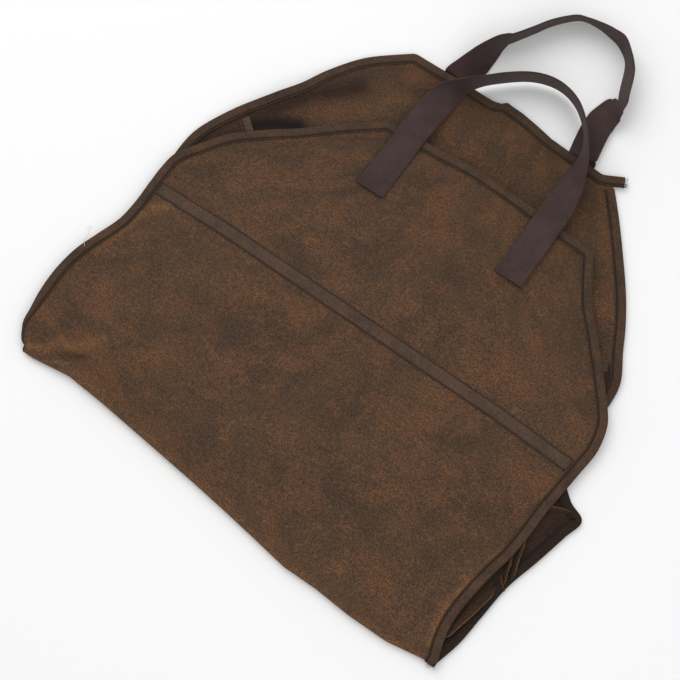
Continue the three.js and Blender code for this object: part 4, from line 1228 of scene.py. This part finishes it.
seam_tape("front_seam_tape_cloth", ROW["front_seam"], "seam_tape_front")
seam_tape("back_seam_tape_cloth", ROW["back_seam"], "seam_tape_back")


# End panels, folded in between the layers

END_STOP = 1.4
END_TAPE_IN = 7


def end_grid(side):
    """The panel from the front layer's edge in to its fold and back out to the back layer's edge."""
    column, inset = (0, STRIP) if side < 0 else (LAST, LAST - STRIP)
    reach = int((SHOULDERS["left"] if side < 0 else SHOULDERS["right"]) * STEPS)
    front_shoulder = ROW["front_seam"] - reach
    back_shoulder = ROW["back_seam"] + reach
    stop = int(END_STOP * STEPS)
    count = ROW["front_fold"] - stop - front_shoulder
    grid = []
    for index in range(count + 1):
        share = max(index - STEPS // 2, 0) / (count - STEPS // 2)
        depth = mix(END_FOLD, END_FOLD_LAST, smooth(share * share))
        radius = mix(END_FOLD_RADIUS, END_FOLD_RADIUS_LAST, share)
        low = mix(END_LOW, END_LOW_LAST, smooth(3 * share))
        strips = []
        for row in (front_shoulder + index, back_shoulder - index):
            line = [sheet[row, place] - normals[row, place] * PLY for place in (column, inset)]
            strips.append(line)
        front, back = strips
        fold_x = (front[1][0] + back[1][0]) / 2 - side * (depth - BORDER)
        fold_y = (front[1][1] + back[1][1]) / 2 - END_SAG * (1 - share)

        def half(strip, level, sign):
            marks = [strip[0], strip[1]]
            for depth_share, nip in END_COLUMNS:
                run = depth_share * (1 - radius / depth)
                height = mix(strip[1][2], level, math.sqrt(depth_share)) - sign * nip * depth / END_FOLD
                marks.append(np.array([
                    mix(strip[1][0], fold_x, run), mix(strip[1][1], fold_y, run), height,
                ]))
            return spline(marks, END_STEPS)

        turning = []
        for step in range(1, END_STEPS):
            angle = math.pi * step / END_STEPS
            turning.append(np.array([
                fold_x + side * radius * (1 - math.sin(angle)), fold_y,
                low + radius * (1 + math.cos(angle)),
            ]))
        line = np.concatenate([half(front, low + 2 * radius, 1), turning, half(back, low, -1)[::-1]])
        grid.append(line)
    return np.array(grid)


def cloth_coordinates(grid):
    return np.stack([travelled(grid.transpose(1, 0, 2)).T, travelled(grid)], axis=-1)


for side, label in ((-1, "left"), (1, "right")):
    grid = end_grid(side)
    panel_normals = grid_normals(grid)
    nowhere = np.zeros(grid.shape[:2])
    piece = shell_piece(
        f"{label}_end_panel_cloth", grid, panel_normals, CANVAS, canvas, cloth_coordinates(grid),
        {"pale": (nowhere, nowhere), "shade": (nowhere + END_SHADE, nowhere + END_SHADE)},
    )
    cover(piece, "canvas", f"end_panel_{label}")
    columns = np.arange(END_TAPE_IN, grid.shape[1] - END_TAPE_IN)
    edge = grid[0, columns]
    rear = grid[STEPS // 2, columns]
    tangent = unit(np.gradient(grid[0], axis=0)[columns])
    span = rear - edge
    width = np.linalg.norm(np.cross(tangent, span), axis=1, keepdims=True)
    inset = edge + span * BORDER / width
    tape = swept_binding(
        f"{label}_end_tape_cloth", edge[::-1], inset[::-1], panel_normals[0, columns][::-1],
        panel_normals[0, columns][::-1], np.zeros(len(columns)), f"end_tape_{label}",
    )


# Handles

STRAP_POINTS = 15
STRAP_ROUND = 1.0
STRAP_SPARE = 0.4


def strap_sections(path, wide, width, wall, doubled=None):
    """Sections of a strap with round edges. doubled: extra cloth on its upper side at each station."""
    along = unit(np.gradient(path, axis=0))
    wide = unit(wide - along * np.sum(wide * along, axis=1, keepdims=True))
    thick = unit(np.cross(along, wide))
    extra = np.zeros(len(path)) if doubled is None else doubled
    half, edge = width / 2, wall / 2
    ring = []
    for across in np.linspace(half - STRAP_ROUND, -half + STRAP_ROUND, STRAP_POINTS):
        ring.append((across, edge, 1.0))
    for angle_step in (45, 90, 135):
        a = math.radians(angle_step)
        ring.append((-half + STRAP_ROUND - math.sin(a), edge * math.cos(a), 0.5 + 0.5 * math.cos(a)))
    for across in np.linspace(-half + STRAP_ROUND, half - STRAP_ROUND, STRAP_POINTS):
        ring.append((across, -edge, 0.0))
    for angle_step in (135, 90, 45):
        a = math.radians(angle_step)
        ring.append((half - STRAP_ROUND + math.sin(a), edge * math.cos(a), 0.5 + 0.5 * math.cos(a)))
    sections = [path + wide * w + thick * (t + extra * share)[:, None] for w, t, share in ring]
    run = np.array([w if t > 0 else w + width for w, t, share in ring])
    return np.stack(sections, axis=1), run, wide, thick


def front_seat(x, y):
    reach = np.linspace(-0.5, 0.5, 5) * WEBBING_WIDTH
    places = x + reach
    heights = front_height(front_plan, places, np.full(places.shape, y))
    return float(heights.max()) + HALF_CANVAS + GAP + LEG_SPARE


def front_leg(across):
    x = across * HALF_WIDTH
    end_y = FRONT_TOP_Y + BORDER / 3
    rows = []
    for share in FRONT_LEG_ROWS:
        y = end_y - HANDLE_SEWN * (1 - share)
        seat = front_seat(x, min(y, FRONT_TOP_Y - BORDER)) + (BINDING_REACH if share >= LEG_ON_BINDING else 0)
        rows.append((x, y, seat + WEBBING_WALL / 2, 0.0))
    return rows


def loop_rows(table, top_y, loop, low_flat, low_edge):
    rows = []
    for across, up, turned in table:
        angle = turned * math.pi / 2
        height = WEBBING_WIDTH / 2 * math.sin(angle) + WEBBING_WALL / 2 * abs(math.cos(angle))
        low = mix(low_flat(up), low_edge, smooth(turned * 2))
        rows.append((across * HALF_WIDTH, top_y + up * loop, low + height, turned))
    return rows


def back_leg(across, low_side):
    """Edge places of a sewn leg. low_side: which side of it becomes the lower edge of the loop."""
    low = across * HALF_WIDTH + low_side * WEBBING_WIDTH / 2
    high = across * HALF_WIDTH - low_side * WEBBING_WIDTH / 2
    heights = [BACK_TOP_Y - HANDLE_SEWN * (1 - share) for share in BACK_LEG_ROWS]
    return [(low, y, high, y) for y in heights]


def turned_frames(path, turns):
    along = unit(np.gradient(path, axis=0))
    level = unit(np.stack([-along[:, 1], along[:, 0], np.zeros(len(path))], axis=1))
    angle = (turns * math.pi / 2)[:, None]
    wide = level * np.cos(angle) + np.array([0, 0, 1.0]) * np.sin(angle)
    return path, wide


def edge_frames(rows):
    """Middle line and width direction of a strap from the plan of its lower and upper edge."""
    fine = spline(rows, 8)
    low, high = fine[:, 0:2], fine[:, 2:4]
    span = high - low
    apart = np.linalg.norm(span, axis=1, keepdims=True)
    span = span * np.minimum(WEBBING_WIDTH / apart, 1)
    rise = np.sqrt(np.maximum(WEBBING_WIDTH ** 2 - np.sum(span ** 2, axis=1, keepdims=True), 0))
    wide = np.concatenate([span, rise], axis=1)
    flat = np.minimum(apart / WEBBING_WIDTH, 1)
    base = np.concatenate([low, WEBBING_WALL / 2 * flat + ON_SURFACE], axis=1)
    return base + wide / 2, wide


def handle_piece(name, path, wide, cad, hem):
    """hem: how much thicker the cloth is at both ends."""
    along = travelled(path)
    from_end = np.minimum(along, along[-1] - along)
    doubled = hem * smooth((HEM + 1 - from_end) / 2)
    width = WEBBING_WIDTH - STRAP_SPARE
    sections, run, wide, thick = strap_sections(path, wide, width, WEBBING_WALL, doubled)
    cover(swept_piece(name, sections, run, along, webbing), "webbing", cad)
    return path, wide, thick, along


left_leg = front_leg(FRONT_LEGS["left"])
right_leg = front_leg(FRONT_LEGS["right"])[::-1]
flat_top = left_leg[-1][2] - WEBBING_WALL / 2
low_edge = BACK_TOP_EDGE + HALF_CANVAS + BINDING_REACH + GAP


def low_flat(up):
    """The height under the front loop's flat part, from its leg's to the edge's."""
    return mix(flat_top, low_edge, smooth(up * 2))


front_loop = loop_rows(FRONT_LOOP_ROWS, FRONT_TOP_Y, FRONT_LOOP, low_flat, low_edge)
front_rows = left_leg + front_loop + right_leg
front_fine = spline(front_rows, 10)
front_handle = handle_piece(
    "front_handle_webbing", *turned_frames(front_fine[:, :3], front_fine[:, 3]), "front_handle", HEM_WALL,
)
back_loop = [
    (low * HALF_WIDTH, BACK_TOP_Y + low_up * BACK_LOOP, high * HALF_WIDTH, BACK_TOP_Y + high_up * BACK_LOOP)
    for low, low_up, high, high_up in BACK_LOOP_EDGES
]
back_edges = back_leg(BACK_LEGS["left"], 1) + back_loop + back_leg(BACK_LEGS["right"], -1)[::-1]
back_handle = handle_piece("back_handle_webbing", *edge_frames(back_edges), "back_handle", 0.0)


BOX = {"near": 3.0, "far": HEM - 2.5, "half": WEBBING_WIDTH / 2 - 3.5, "points": 30}


def sewn_box(name, handle, from_start, side):
    """A box with a cross sewn through the end of a leg, on its upper (1) or under (-1) side."""
    path, wide, thick, along = handle
    near, far, half = BOX["near"], BOX["far"], BOX["half"]
    corners = [
        ((near, -half), (near, half)), ((far, -half), (far, half)), ((near, -half), (far, -half)),
        ((near, half), (far, half)), ((near, -half), (far, half)), ((near, half), (far, -half)),
    ]
    for number, (start, end) in enumerate(corners):
        marks = np.linspace(start, end, BOX["points"])
        at = marks[:, 0] if from_start else along[-1] - marks[:, 0]
        frames = [np.stack([np.interp(at, along, values[:, axis]) for axis in range(3)], 1)
                  for values in (path, wide, thick)]
        up = unit(frames[2]) * side
        lift = WEBBING_WALL / 2 + (HEM_WALL if side > 0 else 0)
        centers = frames[0] + frames[1] * marks[:, 1:2] + up * lift
        stitch_run(f"{name}_{number}", centers, up, "handle")


for cad, handle, side in (("front_handle", front_handle, 1), ("back_handle", back_handle, -1)):
    for label, from_start in (("left", True), ("right", False)):
        sewn_box(f"{cad}_{label}_sewing", handle, from_start, side)


# Pleats at the right side, where the end panel is gathered between the layers:
# x, y and height of each place, how far it stands up, and its width
PLEATS = [
    ("right_pleat_upper", [(308, 180, 9, 0.55), (314, 154, 7, 0.6), (322, 128, 4.5, 0.4)], 11.0),
    ("right_pleat_lower", [(308, 152, 9, 0.55), (313, 132, 7, 0.65), (319, 115, 5, 0.5)], 9.0),
    ("right_pleat_gather", [(310, 126, 8, 0.3), (316, 118, 7, 0.7), (323, 114, 4.5, 0.3)], 8.0),
    ("right_pleat_strip", [
        (311, 112, 5, 0.2), (307.5, 90, 6, 0.25), (303, 66, 6.5, 0.35), (298, 44, 6.5, 0.4),
        (294, 27, 6, 0.3),
    ], 14.0),
    ("right_pleat_ridge", [(307, 221, 7, 0.35), (322, 228, 7, 0.5), (336, 234, 4.5, 0.3)], 8.0),
]
PLEAT_TAPER = 12.0
PLEAT_THIN = 0.35
# Painted shade over the pleats, with less of it along the lit crest of each pleat, which is also painted
# paler
LIT_CREST = {"inner": 1.6, "outer": 0.2, "pale": 0.5, "shade": 0.25}
PLEAT_SHADE = 0.58
for name, rows, width in PLEATS:
    fine = spline(rows, 10)
    path, wide = turned_frames(fine[:, :3], fine[:, 3])
    sections, run, wide, thick = strap_sections(path, wide, width, CANVAS)
    length = travelled(path)
    from_end = np.minimum(length, length[-1] - length)
    taper = mix(PLEAT_THIN, 1.0, smooth(from_end / PLEAT_TAPER))
    sections = mix(path[:, None], sections, taper[:, None, None])
    crest = (run > width / 2 - LIT_CREST["inner"]) & (run <= width / 2 + LIT_CREST["outer"])
    pleat = swept_piece(name, sections, run, length, canvas, {
        "pale": np.tile(crest * LIT_CREST["pale"], len(path)),
        "shade": np.tile(np.where(crest, LIT_CREST["shade"], PLEAT_SHADE), len(path)),
    })
    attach(pleat, "root")


# Loose ends of thread

def hair(name, rows, radius, material):
    """A thread through the rows of x, y and height."""
    path = spline(rows, 8)
    along = unit(np.gradient(path, axis=0))
    side = unit(np.cross(along, [0.1, 0.2, 1.0]))
    up = np.cross(side, along)
    thin = np.clip(np.linspace(1.0, 0.55, len(path)), 0, 1)[:, None] * radius
    ring = [side * thin * math.cos(a) + up * thin * math.sin(a) for a in np.arange(5) * 2 * math.pi / 5]
    sections = np.stack([path + offset for offset in ring], axis=1)
    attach(swept_piece(name, sections, np.arange(5.0), np.arange(float(len(path))), material), "root")


def frayed_end(name, middle, across, out, count, length):
    """Fibres that stick out of a cut end, side by side along its width."""
    for number in range(count):
        start = middle + across * random_state.uniform(-1, 1)
        start = start + np.array([0, 0, random_state.uniform(-0.6, 0.6)])
        way = unit(out + random_state.normal(0, 0.35, 3))
        bend = random_state.normal(0, 0.5, 3)
        reach = length * random_state.uniform(0.3, 1.0)
        rows = [start - out * 1.0, start + way * reach * 0.5, start + unit(way + bend) * reach]
        material = pale_thread if random_state.uniform() < 0.12 else brown_thread
        hair(f"{name}_{number}", rows, random_state.uniform(0.10, 0.20), material)


fray_edge, fray_inset = top_back_path[0][-1], top_back_path[1][-1]
fray_across = (fray_inset - fray_edge) / 2 * BINDING_WIDTH / BORDER
fray_out = unit(fray_edge - top_back_path[0][-2])
frayed_end("fray_back", fray_edge + fray_across, fray_across, fray_out, count=26, length=7.0)
tip = sheet[(ROW["front_fold"] + ROW["back_fold"]) // 2, LAST]
tip_middle, tip_across = tip + np.array([-3.0, -1.0, 2.0]), np.array([4.0, 1.0, 2.0])
tip_out = unit(np.array([-0.2, -1.0, -0.1]))
frayed_end("fray_tip", tip_middle, tip_across, tip_out, count=14, length=7.0)
hair("loose_thread", [
    (-318, 172, 13), (-322, 177, 14), (-322, 182, 14), (-324, 188, 13), (-326, 193, 13), (-326, 196, 13),
    (-328, 196, 14), (-329, 193, 14), (-326, 190, 14),
], 0.32, pale_thread)


# Camera, light and floor

AIM = np.array([0.0, 250.0, 15.0]) + PLACE
AZIMUTH, ELEVATION, DISTANCE = math.radians(35), math.radians(72), 2.4
back_way = Vector((
    math.sin(AZIMUTH) * math.cos(ELEVATION), -math.cos(AZIMUTH) * math.cos(ELEVATION), math.sin(ELEVATION),
))
camera = bpy.data.objects.new("camera", bpy.data.cameras.new("camera"))
bpy.context.scene.collection.objects.link(camera)
camera.data.lens = 108.04
camera.data.sensor_width = 36.0
camera.data.clip_end = 50.0
camera.location = Vector(AIM * MM) + back_way * DISTANCE
camera.rotation_mode = "QUATERNION"
camera.rotation_quaternion = (-back_way).to_track_quat("-Z", "Y")
bpy.context.scene.camera = camera


def area_light(name, place, size, power, aim):
    data = bpy.data.lights.new(name, "AREA")
    data.shape = "DISK"
    data.size = size
    data.energy = power
    lamp = bpy.data.objects.new(name, data)
    lamp.location = place
    lamp.rotation_mode = "QUATERNION"
    lamp.rotation_quaternion = (Vector(aim) - Vector(place)).to_track_quat("-Z", "Y")
    bpy.context.scene.collection.objects.link(lamp)


area_light("key_light", place=(-1.6, 0.9, 2.3), size=2.8, power=34, aim=(0, 0, 0))
area_light("fill_light", place=(1.7, -1.2, 2.4), size=2.6, power=20, aim=(0, 0, 0))

world = bpy.data.worlds.new("studio")
bpy.context.scene.world = world
world.use_nodes = True
world.node_tree.nodes["Background"].inputs["Color"].default_value = (1.0, 1.0, 1.0, 1.0)
world.node_tree.nodes["Background"].inputs["Strength"].default_value = 0.66

FLOOR_REACH = 4
FLOOR_LEVEL = -0.0002
floor_corners = [
    (x * FLOOR_REACH, y * FLOOR_REACH, FLOOR_LEVEL) for x, y in ((-1, -1), (1, -1), (1, 1), (-1, 1))
]
floor_mesh = bpy.data.meshes.new("floor")
floor_mesh.from_pydata(floor_corners, [], [(0, 1, 2, 3)])
floor = bpy.data.objects.new("floor", floor_mesh)
bpy.context.scene.collection.objects.link(floor)
floor_paper = bpy.data.materials.new("floor_paper")
floor_paper.use_nodes = True
paper = floor_paper.node_tree.nodes["Principled BSDF"]
paper.inputs["Base Color"].default_value = (0.93, 0.93, 0.93, 1.0)
paper.inputs["Roughness"].default_value = 0.9
paper.inputs["Specular IOR Level"].default_value = 0.1
floor_mesh.materials.append(floor_paper)

bpy.context.scene.view_settings.view_transform = "Standard"
